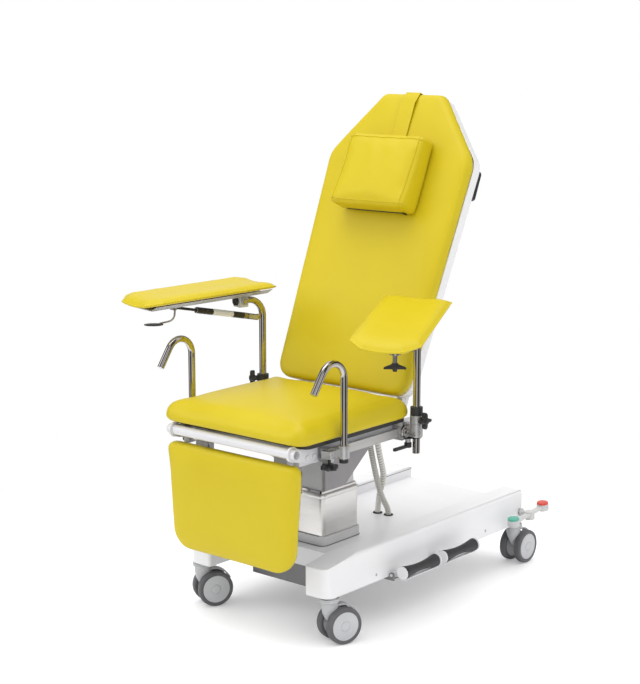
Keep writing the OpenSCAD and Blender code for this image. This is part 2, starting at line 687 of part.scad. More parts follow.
// Leg rest: a front tube that turns in the end plates, two square tubes, a board and a cushion
leg_z1 = 496.4;
leg_y0 = -131;
leg_t = 26;
leg_crown = 6;
leg_foot_share = 0.906;
leg_top_r = 18;
leg_foot_r = 52;
leg_draw = 5;
leg_board_t = 12;
leg_tube_w = 45;
leg_tube_d = 25;
leg_tube_x = 140;
tube_wall = 2;
front_tube_x = 226;
leg_tube_y = leg_y0 + leg_crown + leg_t + gap + leg_board_t;
neck_z = 476;
leg_stay_z = 440;
function leg_pts(k) = let (a = leg_w / 2 - k, b = leg_w * leg_foot_share / 2 - k)
  [[-b, k - leg_len], [b, k - leg_len], [a, -k], [-a, -k]];
module on_leg(y) { placed() translate([0, y, leg_z1]) rotate([90, 0, 0]) children(); }
module leg_cushion() color("khaki") on_leg(leg_tube_y - leg_board_t - gap)
  cushion(stuffed(leg_pts(0), [leg_foot_r, leg_foot_r, leg_top_r, leg_top_r], 5, leg_draw),
    cushion_shares, leg_t, leg_crown, [0, -leg_len / 2], 0);
module leg_board() color("dimgray") on_leg(leg_tube_y) linear_extrude(height = leg_board_t)
  polygon(rounded(leg_pts(board_inset), [leg_foot_r - board_inset, leg_foot_r - board_inset,
      leg_top_r / 2, leg_top_r / 2], 6));
module leg_frame() color("whitesmoke") placed() {
  y1 = leg_tube_y + leg_tube_d;
  low = leg_z1 - leg_len + leg_tube_w / 2;
  difference() {
    rod_x(front_tube_d, -front_tube_x, front_tube_x, leg_axis_y, leg_axis_z);
    for (s = [-1, 1]) on_side(s)
      rod_x(front_tube_d - 2 * tube_wall, member_out - cut, front_tube_x + cut, leg_axis_y, leg_axis_z);
  }
  for (s = [-1, 1]) on_side(s) {
    block(leg_tube_x - leg_tube_w / 2, leg_tube_x + leg_tube_w / 2, leg_tube_y, y1, low, neck_z + cut);
    across_x(leg_tube_x - leg_tube_w / 2, leg_tube_w, [[leg_tube_y, neck_z], [y1, neck_z],
      [y1, leg_axis_z - front_tube_d], [leg_axis_y + front_tube_d, leg_axis_z],
      [leg_axis_y, leg_axis_z], [leg_axis_y - front_tube_d / 4, leg_axis_z - front_tube_d / 4],
      [leg_tube_y, leg_z1 + bolt_h]]);
  }
  block(-leg_tube_x, leg_tube_x, leg_tube_y + tube_wall, y1, leg_stay_z, leg_stay_z + leg_tube_w / 2);
}

// Rail clamps: a jaw round the rail, a bridge and an upright sleeve. The arm clamps also have a chrome
// disc, a black cap and a slotted key plate.
arm_x = 270;
post_y_left = 303;
post_y_right = 322;
jaw_lip = 6;
jaw_reach = 6;
jaw_out = 14;
sleeve_d = 34;
sleeve_bore = 29;
sleeve_z0 = 503;
sleeve_z1_left = 583;
sleeve_z1_right = 540;
arm_jaw_w = 38;
bridge_w = 24;
bridge_z0 = 505;
bridge_z1 = 531;
disc_d = 37;
disc_t = 6;
jaw_back = 24;
key_w = 14;
key_h = 18;
key_z0 = 533;
module jaw(y0, w) {
  x0 = rail_in - gap;
  x1 = rail_in + rail_t + gap;
  z0 = rail_z - rail_h / 2 - gap;
  z1 = rail_z + rail_h / 2 + gap;
  across_y(y0, w, [[x0 - jaw_lip, z0 - jaw_lip], [x1 + jaw_out, z0 - jaw_lip], [x1 + jaw_out, z1 + jaw_lip],
    [x0 - jaw_lip, z1 + jaw_lip], [x0 - jaw_lip, z1 - jaw_reach], [x0, z1 - jaw_reach], [x0, z1], [x1, z1],
    [x1, z0], [x0, z0], [x0, z0 + jaw_reach], [x0 - jaw_lip, z0 + jaw_reach]]);
}
jaw_x1 = rail_in + rail_t + gap + jaw_out;
lever_x = 255;
lever_dy = -17;
lever_boss_d = 15;
lever_pin_d = 8;
lever_z1 = 488;
boss_h = 15;
module arm_clamp(s, y, top_z) color("silver") placed() on_side(s) difference() {
  union() {
    jaw(y - jaw_back, arm_jaw_w);
    block(jaw_x1 - cut, arm_x, y - bridge_w / 2, y + bridge_w / 2, bridge_z0, bridge_z1);
    rod_z(sleeve_d, sleeve_z0, top_z, arm_x, y);
    rod_x(disc_d, jaw_x1 - cut, jaw_x1 + disc_t, y - bridge_w / 2, rail_z + disc_t);
    block(rail_in + rail_t, jaw_x1, y - bolt_h, y + key_w - cut, key_z0 - bolt_h, key_z0 + bolt_h);
    rod_z(lever_boss_d, lever_z1 + gap, bridge_z0 + cut, lever_x, y + lever_dy);
    block(jaw_x1 - cut, lever_x + lever_boss_d / 2, y + lever_dy - lever_boss_d / 2, y, bridge_z0,
        bridge_z0 + lever_boss_d / 2);
  }
  rod_z(sleeve_bore + 2 * fit, sleeve_z0 - cut, top_z + cut, arm_x, y);
  rod_z(lever_pin_d + 2 * fit, lever_z1 - cut, bridge_z0 - bolt_h, lever_x, y + lever_dy);
}
lever_len = 58;
lever_hub_d = 20;
lever_hub_h = 14;
lever_w = 10;
lever_t = 8;
module clamp_lever(s, y) color("dimgray") placed() on_side(s) translate([lever_x, y + lever_dy,
    lever_z1 - lever_hub_h]) {
  rod_z(lever_hub_d, 0, lever_hub_h, 0, 0);
  rod_z(lever_pin_d, lever_hub_h - cut, lever_hub_h + boss_h / 2, 0, 0);
  block(-lever_w / 2, lever_w / 2, -lever_len, 0, 0, lever_t);
  rod_z(lever_w, 0, lever_t, 0, -lever_len);
}

// Arm collars: a bushing in the sleeve with a head that the star knob screws into
collar_wall_d = 34;
bushing_len = 40;
knob_boss_d = 15;
knob_boss_r = 23;
knob_pin_d = 7;
knob_pin_in = 13;
knob_d = 46;
knob_t = 15;
module arm_collar(s, y, z0, z1, knob_z, turn) color("dimgray") placed() translate([s * arm_x, y,
    0]) difference() {
  union() {
    rod_z(collar_wall_d, z0 + gap, z1, 0, 0);
    rod_z(sleeve_bore, z0 - bushing_len, z1, 0, 0);
    rotate([0, 0, turn]) rod_x(knob_boss_d, 0, knob_boss_r, 0, knob_z);
  }
  rod_z(post_d + 2 * fit, z0 - bushing_len - cut, z1 + cut, 0, 0);
  rotate([0, 0, turn]) rod_x(knob_pin_d + 2 * fit, 0, knob_boss_r + cut, 0, knob_z);
}
module arm_knob(s, y, knob_z, turn) color("dimgray") placed()
  translate([s * arm_x, y, knob_z]) rotate([0, 0, turn]) rotate([0, 90, 0]) {
    translate([0, 0, knob_boss_r + gap]) star(knob_d, knob_t, 4);
    rod_z(knob_pin_d, knob_pin_in, knob_boss_r + 2 * gap, 0, 0);
  }
left_collar_z1 = 607;
right_collar_z1 = 586;
left_knob_z = 595;
right_knob_z = 551;
left_knob_turn = -129;
right_knob_turn = -5;

// Left arm: a bent post with a trunnion block, a tray that tilts on it, a cushion and a gas spring
post_foot_z = 457;
post_bend_r = 50;
left_bend_z = 778;
left_reach = 92;
trunnion_a = 75;
trunnion_half = 16;
trunnion_len = 30;
trunnion_h = 34;
stub_d = 12;
stub_x = 23;
post_cap_t = 4;
left_z = left_bend_z + post_bend_r;
spring_a = [25, 776];
spring_b = [303, 832];
spring_lug_t = 6;
spring_cheek_t = 5;
spring_pin_d = 6;
spring_lug_r = 8;
spring_eye_r = 6;
module at_left_arm() {
  placed() translate([-arm_x, post_y_left, 0]) rotate([0, 0, left_arm_turn]) children();
}
module bent_post(bend_z, reach) {
  rod_z(post_d, post_foot_z, bend_z, 0, 0);
  bend(post_d, post_bend_r, 90, 0, 0, bend_z);
  rod_y(post_d, -reach, -post_bend_r, 0, bend_z + post_bend_r);
}
module arm_post_left() color("gainsboro") at_left_arm() {
  bent_post(left_bend_z, left_reach);
  rod_y(post_d + post_cap_t, -left_reach - post_cap_t, -left_reach + post_cap_t, 0, left_z);
  block(-trunnion_half, trunnion_half, -trunnion_a - trunnion_len / 2, -trunnion_a + trunnion_len / 2,
    left_z - trunnion_h / 2, left_z + trunnion_h / 2 - post_cap_t);
  rod_x(stub_d, -stub_x, stub_x, -trunnion_a, left_z);
  rod_x(2 * spring_lug_r, -spring_lug_t / 2, spring_lug_t / 2, -spring_a[0], spring_a[1]);
  across_x(-spring_lug_t / 2, spring_lug_t, [[0, spring_a[1] - spring_lug_r], [-spring_a[0],
      spring_a[1] - spring_lug_r],
    [-spring_a[0], spring_a[1] + spring_lug_r], [0, spring_a[1] + spring_lug_r]]);
  rod_x(spring_pin_d, -spring_lug_r, spring_lug_r, -spring_a[0], spring_a[1]);
}
left_tilt = 2;
tray_front = 323;
tray_rear = 62;
tray_z0 = 19;
tray_z1 = 34;
tray_half = 45;
tray_brim = 72;
tray_wall = 3;
tray_lug_t = 6;
tray_lug_r = 10;
pad_turn_up = 9;
pad_t = 15;
pad_crown = 4;
pad_front_cut = 39;
pad_rear_cut = 27;
pad_corner_r = 12;
pad_draw = 3;
left_pad_v = -140;
module at_left_tray() {
  at_left_arm() translate([0, -trunnion_a, left_z]) rotate([left_tilt, 0, 0]) children();
}
// A folded tray along Y: a flat floor with flared sides
module tray(y0, y1, z0, z1, half, brim, wall) {
  across_y(y0, y1 - y0, [[-half, z0], [half, z0], [brim, z1], [brim - wall, z1], [half - wall, z0 + wall],
    [wall - half, z0 + wall], [wall - brim, z1], [-brim, z1]]);
}
// Where a pin of the arm lies in the tray's own plane
function in_tray(p) = let (a = trunnion_a - p[0], h = p[1] - left_z)
  [a * cos(left_tilt) + h * sin(left_tilt), h * cos(left_tilt) - a * sin(left_tilt)];
spring_slot = 8;
eye_slack = 1.5;
release_pin_d = 6;
module arm_tray_left() color("gray") at_left_tray() {
  b = in_tray(spring_b);
  difference() {
    union() {
      tray(-tray_front, tray_rear, tray_z0, tray_z1, tray_half, tray_brim, tray_wall);
      for (s = [-1, 1]) on_side(s) {
        x0 = trunnion_half + gap;
        rod_x(2 * tray_lug_r, x0, x0 + tray_lug_t, 0, 0);
        block(x0, x0 + tray_lug_t, -tray_lug_r, tray_lug_r, 0, tray_z0 + cut);
      }
    }
    rod_x(stub_d + 2 * fit, -stub_x - 2 * cut, stub_x + 2 * cut, 0, 0);
  }
  for (s = [-1, 1]) on_side(s) {
    rod_x(2 * spring_lug_r, spring_slot / 2 + gap, spring_slot / 2 + spring_cheek_t, b[0], b[1]);
    block(spring_slot / 2 + gap, spring_slot / 2 + spring_cheek_t, b[0] - spring_lug_r,
        b[0] + spring_lug_r, b[1], tray_z0 + cut);
    rod_x(release_pin_d, spring_slot / 2 + spring_cheek_t - cut, 2 * spring_slot, b[0], b[1]);
  }
  rod_x(spring_pin_d, -spring_slot, spring_slot, b[0], b[1]);
}
pad_half = pad_w / 2;
function pad_pts() = let (h = pad_half, f = -pad_len / 2, r = pad_len / 2, a = pad_front_cut,
    b = pad_rear_cut)
  [[a - h, f], [h - a, f], [h, f + a], [h, r - b], [h - b, r], [b - h, r], [-h, r - b], [-h, f + a]];
module arm_cushion() cushion(stuffed(pad_pts(), [for (i = [0:7]) pad_corner_r], 3, pad_draw),
  cushion_shares, pad_t, pad_crown, [0, 0], pad_turn_up);
brim_lift = pad_turn_up * pow(tray_brim / pad_half, 2);
module arm_cushion_left() color("khaki") at_left_tray()
  translate([0, left_pad_v, tray_z1 + 2 * gap - brim_lift]) arm_cushion();
spring_tube_d = 18;
spring_tube_z0 = 32;
spring_tube_z1 = 205;
spring_rod_d = 8;
spring_stroke = 20;
eye_w = 6;
spring_len = norm(spring_b - spring_a);
module along_spring() {
  v = spring_b - spring_a;
  at_left_arm() translate([0, -spring_a[0], spring_a[1]]) rotate([atan2(v[0], v[1]), 0, 0]) children();
}
module gas_spring_tube() color("dimgray") along_spring() difference() {
  union() {
    for (s = [-1, 1]) on_side(s) {
      x0 = spring_lug_t / 2 + gap;
      rod_x(2 * spring_lug_r, x0, x0 + spring_cheek_t, 0, 0);
      block(x0, x0 + spring_cheek_t, -spring_lug_r, spring_lug_r, 0, spring_tube_z0);
    }
    rod_z(2 * spring_lug_r, spring_tube_z0 - spring_lug_t, spring_tube_z0 + cut, 0, 0);
    rod_z(spring_tube_d, spring_tube_z0, spring_tube_z1, 0, 0);
  }
  rod_x(spring_pin_d + 2 * fit, -spring_tube_d, spring_tube_d, 0, 0);
  rod_z(spring_rod_d + 2 * fit, spring_tube_z0 + spring_tube_d, spring_tube_z1 + cut, 0, 0);
}
module gas_spring_rod() color("silver") along_spring() difference() {
  union() {
    rod_z(spring_rod_d, spring_tube_z1 - spring_tube_d - 2 * spring_stroke,
        spring_len - spring_lug_r / 2, 0, 0);
    rod_x(2 * spring_eye_r, -eye_w / 2, eye_w / 2, 0, spring_len);
  }
  rod_x(spring_pin_d + 2 * eye_slack, -eye_w, eye_w, 0, spring_len);
}
release_half = 13.5;
release_t = 4;
release_len = 86;
release_h = 36;
paddle_half = 18;
paddle_len = 30;
module release_lever() color("dimgray") at_left_tray() {
  b = in_tray(spring_b);
  y = b[0];
  z = b[1];
  for (s = [-1, 1]) on_side(s) {
    x0 = release_half - release_t;
    difference() {
      union() {
        rod_x(2 * spring_eye_r, x0, release_half, y, z);
        across_x(x0, release_t, [[y - spring_eye_r, z], [y + spring_eye_r, z], [y,
            z - release_h + release_t],
          [y - release_t, z - release_h], [y - paddle_len, z - release_h], [y - paddle_len,
              z - release_h + spring_lug_r]]);
      }
      rod_x(release_pin_d + 2 * fit, x0 - cut, release_half + cut, y, z);
    }
  }
  across_x(-paddle_half, 2 * paddle_half, [[y - paddle_len, z - release_h], [y - paddle_len,
      z - release_h + release_t],
    [y - release_len, z - release_h + 2 * spring_lug_r + release_t], [y - release_len,
        z - release_h + 2 * spring_lug_r]]);
  block(-release_half, release_half, y - paddle_len - release_t, y - paddle_len + release_t,
      z - release_h, z - release_h + spring_lug_r);
}

// Right arm: a bent post with a tall head, and a tray on a stud that turns in it
right_bend_z = 746;
right_z = right_bend_z + post_bend_r;
stud_x = 275;
stud_y = 218;
right_arm_turn = atan2(stud_x - arm_x, post_y_right - stud_y);
right_reach = norm([stud_x - arm_x, post_y_right - stud_y]);
head_d = 32;
head_low_z = 745;
head_high_z = 803;
stud_d = 12;
stud_foot_z = 700;
right_pad = [317.3, 190.5, 839.8];
stud_top_z = 830.5;
right_pitch = 8;
right_roll = 2.3;
right_tray_z = -17;
right_brim_z = -9.5;
right_tray_len = 330;
right_tray_half = 60;
right_tray_brim = 78;
stud_boss_d = 30;
module arm_post_right() color("gainsboro") placed() translate([arm_x, post_y_right, 0])
  rotate([0, 0, right_arm_turn]) difference() {
    union() {
      bent_post(right_bend_z, right_reach);
      rod_z(head_d, head_low_z, head_high_z, 0, -right_reach);
    }
    rod_z(stud_d + 2 * fit, head_low_z - cut, right_z + post_d, 0, -right_reach);
  }
module at_right_pad() {
  placed() translate(right_pad) rotate([0, 0, right_pad_turn]) rotate([right_pitch, 0, 0]) rotate([0,
      right_roll, 0]) children();
}
module arm_tray_right() color("dimgray") {
  at_right_pad() tray(-right_tray_len / 2 - tray_lug_r, right_tray_len / 2 - tray_lug_r, right_tray_z,
      right_brim_z,
    right_tray_half, right_tray_brim, tray_wall);
  placed() {
    rod_z(stud_d, stud_foot_z, stud_top_z, stud_x, stud_y);
    rod_z(stud_boss_d, right_z + post_d / 2 + gap, stud_top_z, stud_x, stud_y);
  }
}
module arm_cushion_right() color("khaki") at_right_pad() translate([0, 0,
    right_tray_z + tray_wall + gap]) arm_cushion();
wing_hub_d = 20;
wing_turn = 38;
wing_z0 = 706;
wing_h = 16;
wing_r = 30;
wing_t = 7;
module wing_knob() color("dimgray") placed() translate([stud_x, stud_y, wing_z0]) difference() {
  union() {
    rod_z(wing_hub_d, 0, wing_h, 0, 0);
    rotate([0, 0, wing_turn]) block(-wing_r, wing_r, -wing_t / 2, wing_t / 2, 0, wing_t);
  }
  rod_z(stud_d + 2 * fit, -cut, wing_h + cut, 0, 0);
}

// Grab hooks: a rail clamp with a star knob below, and a tube that turns in its sleeve
hook_x = 268;
hook_ys = [10, 15];
hook_sleeve_d = 30;
hook_sleeve_z0 = 505;
hook_sleeve_z1 = 538;
hook_foot_z = 498;
hook_bend_r = 47;
hook_angle = 145;
hook_tip = 60;
hook_jaw_w = 27;
hook_jaw_back = 31;
screw_x = 245;
screw_dy = -30;
screw_block = 11;
hook_knob_d = 48;
hook_knob_z1 = 489;
hook_knob_t = 13;
module hook_clamp(s) color("silver") placed() on_side(s) {
  y = hook_ys[s < 0 ? 0 : 1];
  difference() {
    union() {
      jaw(y - hook_jaw_back, hook_jaw_w);
      block(jaw_x1 - cut, hook_x, y - hook_sleeve_d / 2, y + hook_sleeve_d / 4, bridge_z0, bridge_z1);
      block(jaw_x1 - jaw_out, screw_x + screw_block, y + screw_dy - screw_block,
          y - hook_sleeve_d / 2 + cut, bridge_z0, bridge_z1 - bolt_h);
      rod_z(hook_sleeve_d, hook_sleeve_z0, hook_sleeve_z1, hook_x, y);
    }
    rod_z(hook_d + 2 * fit, hook_sleeve_z0 - cut, hook_sleeve_z1 + cut, hook_x, y);
    rod_z(lever_pin_d + 2 * fit, bridge_z0 - cut, bridge_z0 + boss_h, screw_x, y + screw_dy);
  }
}
module hook_knob(s) color("dimgray") placed() on_side(s) {
  y = hook_ys[s < 0 ? 0 : 1] + screw_dy;
  translate([screw_x, y, hook_knob_z1 - hook_knob_t]) star(hook_knob_d, hook_knob_t, 6);
  rod_z(lever_pin_d, hook_knob_z1 - cut, bridge_z0 + boss_h / 2, screw_x, y);
}
module grab_hook(s) color("gainsboro") placed() on_side(s) {
  y = hook_ys[s < 0 ? 0 : 1];
  end = [hook_x, y - hook_bend_r + hook_bend_r * cos(hook_angle),
      hook_bend_z + hook_bend_r * sin(hook_angle)];
  way = [0, -sin(hook_angle), cos(hook_angle)];
  rod_z(hook_d, hook_foot_z, hook_bend_z, hook_x, y);
  rod_z(hook_d + 2 * screw_h, hook_foot_z - bolt_h, hook_foot_z + bolt_h / 2, hook_x, y);
  bend(hook_d, hook_bend_r, hook_angle, hook_x, y, hook_bend_z);
  rod_between(hook_d, end, end + hook_tip * way);
}

// Foot pedals: a steel arm on a pin, an hourglass roller between two end discs
roller_x = 305;
roller_z = 150;
roller_end_r = 17;
roller_waist_r = 10.5;
end_disc_d = 36;
end_disc_t = 4;
arm_t = 3;
arm_z = 129.5;
arm_half = 6;
tab_in = 8;
barrel_d = 14;
pedal_axle_d = 7;
hourglass_shares = [0, 0.12, 0.3, 0.5, 0.7, 0.88, 1];
module pedal(y0) color("dimgray") placed() {
  y1 = y0 + pedal_span;
  ears = y0 + ear_inset + ear_t;
  rod_y(barrel_d, ears + gap, ears + ear_pitch - ear_t - gap, pedal_pivot_x, pedal_pivot_z);
  rod_y(pedal_pin_d, ears - ear_t - screw_h, ears + ear_pitch + screw_h, pedal_pivot_x, pedal_pivot_z);
  block(pedal_pivot_x, roller_x, ears + ear_t, ears + ear_pitch - 2 * ear_t, arm_z, arm_z + arm_t);
  block(roller_x - arm_half, roller_x + arm_half, y0 + tab_in - arm_t, y1 - tab_in + arm_t, arm_z,
      arm_z + arm_t);
  for (y = [y0 + tab_in - arm_t, y1 - tab_in])
    block(roller_x - arm_half, roller_x + arm_half, y, y + arm_t, arm_z, roller_z + arm_half);
  rod_y(pedal_axle_d, y0 + end_disc_t / 2, y1 - end_disc_t / 2, roller_x, roller_z);
  for (y = [y0, y1 - end_disc_t]) rod_y(end_disc_d, y, y + end_disc_t, roller_x, roller_z);
  span = pedal_span - 2 * tab_in - 2 * gap;
  waist = roller_end_r - roller_waist_r;
  translate([roller_x, y0 + tab_in + gap, roller_z]) rotate([-90, 0, 0]) rotate_extrude($fn = fine)
    polygon(concat([[pedal_axle_d / 2 - fit, 0]], [for (q = hourglass_shares)
      [roller_end_r - waist * sin(180 * q), span * q]], [[pedal_axle_d / 2 - fit, span]]));
}

// Central lock: a shaft from the cover, an arm, a boss and a bar with a green and a red pad
lock_arm_x = 285;
lock_bar_w = 17;
lock_bar_z0 = 158;
lock_bar_z1 = 167;
lock_boss_d = 30;
lock_boss_z0 = 146;
lock_boss_z1 = 171;
green_y = 786;
red_y = 944;
lock_pad_d = 33;
lock_ring_d = 36;
lock_rest = 5;
lock_ring_z0 = 152;
lock_pad_t = 10;
lock_ring_z1 = 171;
lock_collar_d = 24;
module lock_rocker()
  placed() translate([0, lock_y, lock_z]) rotate([lock_rest, 0, 0]) translate([0, -lock_y, -lock_z]) {
  color("lightgray") {
    rod_x(lock_shaft_d, beam_in, lock_arm_x, lock_y, lock_z);
    rod_x(lock_collar_d, side_foot + bolt_h / 2, side_foot + bolt_h, lock_y, lock_z);
    rod_z(lock_boss_d, lock_boss_z0, lock_boss_z1, lock_arm_x, lock_y);
    block(lock_arm_x - lock_bar_w / 2, lock_arm_x + lock_bar_w / 2, green_y, red_y, lock_bar_z0,
        lock_bar_z1);
    for (y = [green_y, red_y]) rod_z(lock_ring_d, lock_ring_z0, lock_ring_z1, lock_arm_x, y);
  }
  for (y = [green_y, red_y]) color(y == green_y ? "mediumaquamarine" : "tomato")
    rod_z(lock_pad_d, lock_ring_z1 + fit, lock_bar_z1 + lock_pad_t, lock_arm_x, y);
}

chassis_cover();
base_frame();
column_skirt();
outer_column();
conduits();
middle_column();
inner_column();
for (i = [0:3]) caster_fork(i);
for (i = [0:3]) caster_wheels(i);
top_bracket();
seat_frame();
end_plates();
side_rails();
seat_board();
seat_cushion();
back_frame();
back_shell();
back_cushion();
push_handle();
head_pillow();
pillow_strap();
leg_frame();
leg_board();
leg_cushion();
arm_clamp(-1, post_y_left, sleeve_z1_left);  // arm_clamp_left
arm_collar(-1, post_y_left, sleeve_z1_left, left_collar_z1, left_knob_z, left_knob_turn);  // arm_collar_left
arm_knob(-1, post_y_left, left_knob_z, left_knob_turn);  // arm_knob_left
arm_post_left();
arm_tray_left();
arm_cushion_left();
gas_spring_tube();
gas_spring_rod();
release_lever();
arm_clamp(1, post_y_right, sleeve_z1_right);  // arm_clamp_right
clamp_lever(1, post_y_right);  // clamp_lever_right
arm_collar(1, post_y_right, sleeve_z1_right, right_collar_z1, right_knob_z, right_knob_turn);  // arm_collar_right
arm_knob(1, post_y_right, right_knob_z, right_knob_turn);  // arm_knob_right
arm_post_right();
arm_tray_right();
arm_cushion_right();
wing_knob();
hook_clamp(-1);  // hook_clamp_left
hook_knob(-1);  // hook_knob_left
grab_hook(-1);  // grab_hook_left
hook_clamp(1);  // hook_clamp_right
hook_knob(1);  // hook_knob_right
grab_hook(1);  // grab_hook_right
pedal(pedal_y0s[0]);  // pedal_front
pedal(pedal_y0s[1]);  // pedal_rear
lock_rocker();
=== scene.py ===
import math
import bmesh
import bpy
from mathutils import Matrix, Vector, noise
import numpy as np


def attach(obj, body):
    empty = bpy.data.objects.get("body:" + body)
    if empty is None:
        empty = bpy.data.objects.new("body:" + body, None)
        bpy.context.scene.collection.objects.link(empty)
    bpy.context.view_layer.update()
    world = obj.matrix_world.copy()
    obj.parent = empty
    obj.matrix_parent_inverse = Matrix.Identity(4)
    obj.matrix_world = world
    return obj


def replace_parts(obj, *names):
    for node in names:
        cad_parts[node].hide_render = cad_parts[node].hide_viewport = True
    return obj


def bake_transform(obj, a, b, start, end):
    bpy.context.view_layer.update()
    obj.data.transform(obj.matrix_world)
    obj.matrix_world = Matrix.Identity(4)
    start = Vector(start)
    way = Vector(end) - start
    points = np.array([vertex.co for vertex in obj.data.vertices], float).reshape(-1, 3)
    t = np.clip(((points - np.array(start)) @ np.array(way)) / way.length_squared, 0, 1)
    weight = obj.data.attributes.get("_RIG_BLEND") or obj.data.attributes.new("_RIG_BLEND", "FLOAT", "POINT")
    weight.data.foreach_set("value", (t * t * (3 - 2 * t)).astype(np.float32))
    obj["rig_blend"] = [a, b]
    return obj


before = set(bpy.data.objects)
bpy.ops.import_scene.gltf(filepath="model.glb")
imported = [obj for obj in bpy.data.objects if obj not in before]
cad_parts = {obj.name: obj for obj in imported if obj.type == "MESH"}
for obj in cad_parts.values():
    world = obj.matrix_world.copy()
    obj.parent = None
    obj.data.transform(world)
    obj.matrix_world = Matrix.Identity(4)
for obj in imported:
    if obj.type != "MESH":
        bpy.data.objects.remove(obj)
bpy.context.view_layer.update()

# CAMERA
# A long lens a little above the armrests, looking down on the chair's left front, as the photograph
# was taken: 40 degrees round from straight ahead and 11 degrees down.
ROW_X, ROW_Y = 14.2, 409.4


def at(x, y, z):
    """A point of the chair's own planes in millimetres, in the row frame."""
    return Vector((x - ROW_X, y - ROW_Y, z)) / 1000


CAMERA_SPOT = (2.8465, -3.5680, 1.5894)
CAMERA_AIM = (-0.0659, -0.1094, 0.7269)
camera = bpy.data.objects.new("camera", bpy.data.cameras.new("camera"))
bpy.context.scene.collection.objects.link(camera)
camera.location = CAMERA_SPOT
camera.rotation_euler = (Vector(CAMERA_AIM) - camera.location).to_track_quat("-Z", "Y").to_euler()
camera.data.lens = 86.75
camera.data.sensor_width = 36
camera.data.clip_end = 50
bpy.context.scene.camera = camera
bpy.context.scene.view_settings.view_transform = "Standard"

# CONDUITS
# Two plastic hoses carry the cables from the deck up to the head bracket: one finely ribbed, one a
# spiral wrap that starts in a smooth sleeve. Each stands in a black rubber grommet pressed into the deck.
RIBBED_ROUTE = [(31, 512, 193.5), (29, 508, 215), (25, 482, 264), (29, 452, 331),
                (34, 424, 407), (36, 412, 455), (36, 411, 487.7)]
WRAPPED_ROUTE = [(-7, 509, 193.5), (-5, 509, 216), (10, 496, 256), (34, 482, 318),
                 (52, 440, 395), (58, 418, 452), (58, 414, 487.7)]
HOSE_R = 0.0085
HOSE_SIDES = 16
RIB_PITCH, RIB_STEPS, RIB_DEPTH = 0.0057, 6, 0.0024
WRAP_PITCH, WRAP_STEPS, WRAP_DEPTH = 0.0100, 9, 0.0012
WRAP_GAP = 0.13
SLEEVE_END, SLEEVE_THINNER = 0.062, 0.0004
DECK_Z = 193


def node(tree, kind, inputs=None, **settings):
    """One shader node, with its settings and its plain input values."""
    made = tree.nodes.new(kind)
    for key, value in settings.items():
        setattr(made, key, value)
    for key, value in (inputs or {}).items():
        made.inputs[key].default_value = value
    return made


def finish_group(name, grain, blotch):
    """An empty shader group for a finish: it takes a place and two pattern scales, and gives out a
    Height for the relief and a Mottle for the colour and gloss. Its two end nodes come with it."""
    tree = bpy.data.node_groups.new(name, "ShaderNodeTree")
    tree.interface.new_socket(name="Vector", in_out="INPUT", socket_type="NodeSocketVector")
    for label, value in (("Grain Scale", grain), ("Blotch Scale", blotch)):
        socket = tree.interface.new_socket(name=label, in_out="INPUT", socket_type="NodeSocketFloat")
        socket.default_value = value
    for label in ("Height", "Mottle"):
        tree.interface.new_socket(name=label, in_out="OUTPUT", socket_type="NodeSocketFloat")
    return tree, tree.nodes.new("NodeGroupInput"), tree.nodes.new("NodeGroupOutput")


def fine_skin():
    """Moulding skin or orange peel as Height, and slow blotches as Mottle."""
    tree, start, end = finish_group("fine_skin", 900.0, 7.0)
    fine = node(tree, "ShaderNodeTexNoise", {"Detail": 2.0, "Roughness": 0.6})
    slow = node(tree, "ShaderNodeTexNoise", {"Detail": 4.0, "Roughness": 0.55})
    tree.links.new(start.outputs["Vector"], fine.inputs["Vector"])
    tree.links.new(start.outputs["Vector"], slow.inputs["Vector"])
    tree.links.new(start.outputs["Grain Scale"], fine.inputs["Scale"])
    tree.links.new(start.outputs["Blotch Scale"], slow.inputs["Scale"])
    tree.links.new(fine.outputs["Fac"], end.inputs["Height"])
    tree.links.new(slow.outputs["Fac"], end.inputs["Mottle"])
    return tree


skin_of_paint = fine_skin()
COAT_ROUGHNESS = 0.12


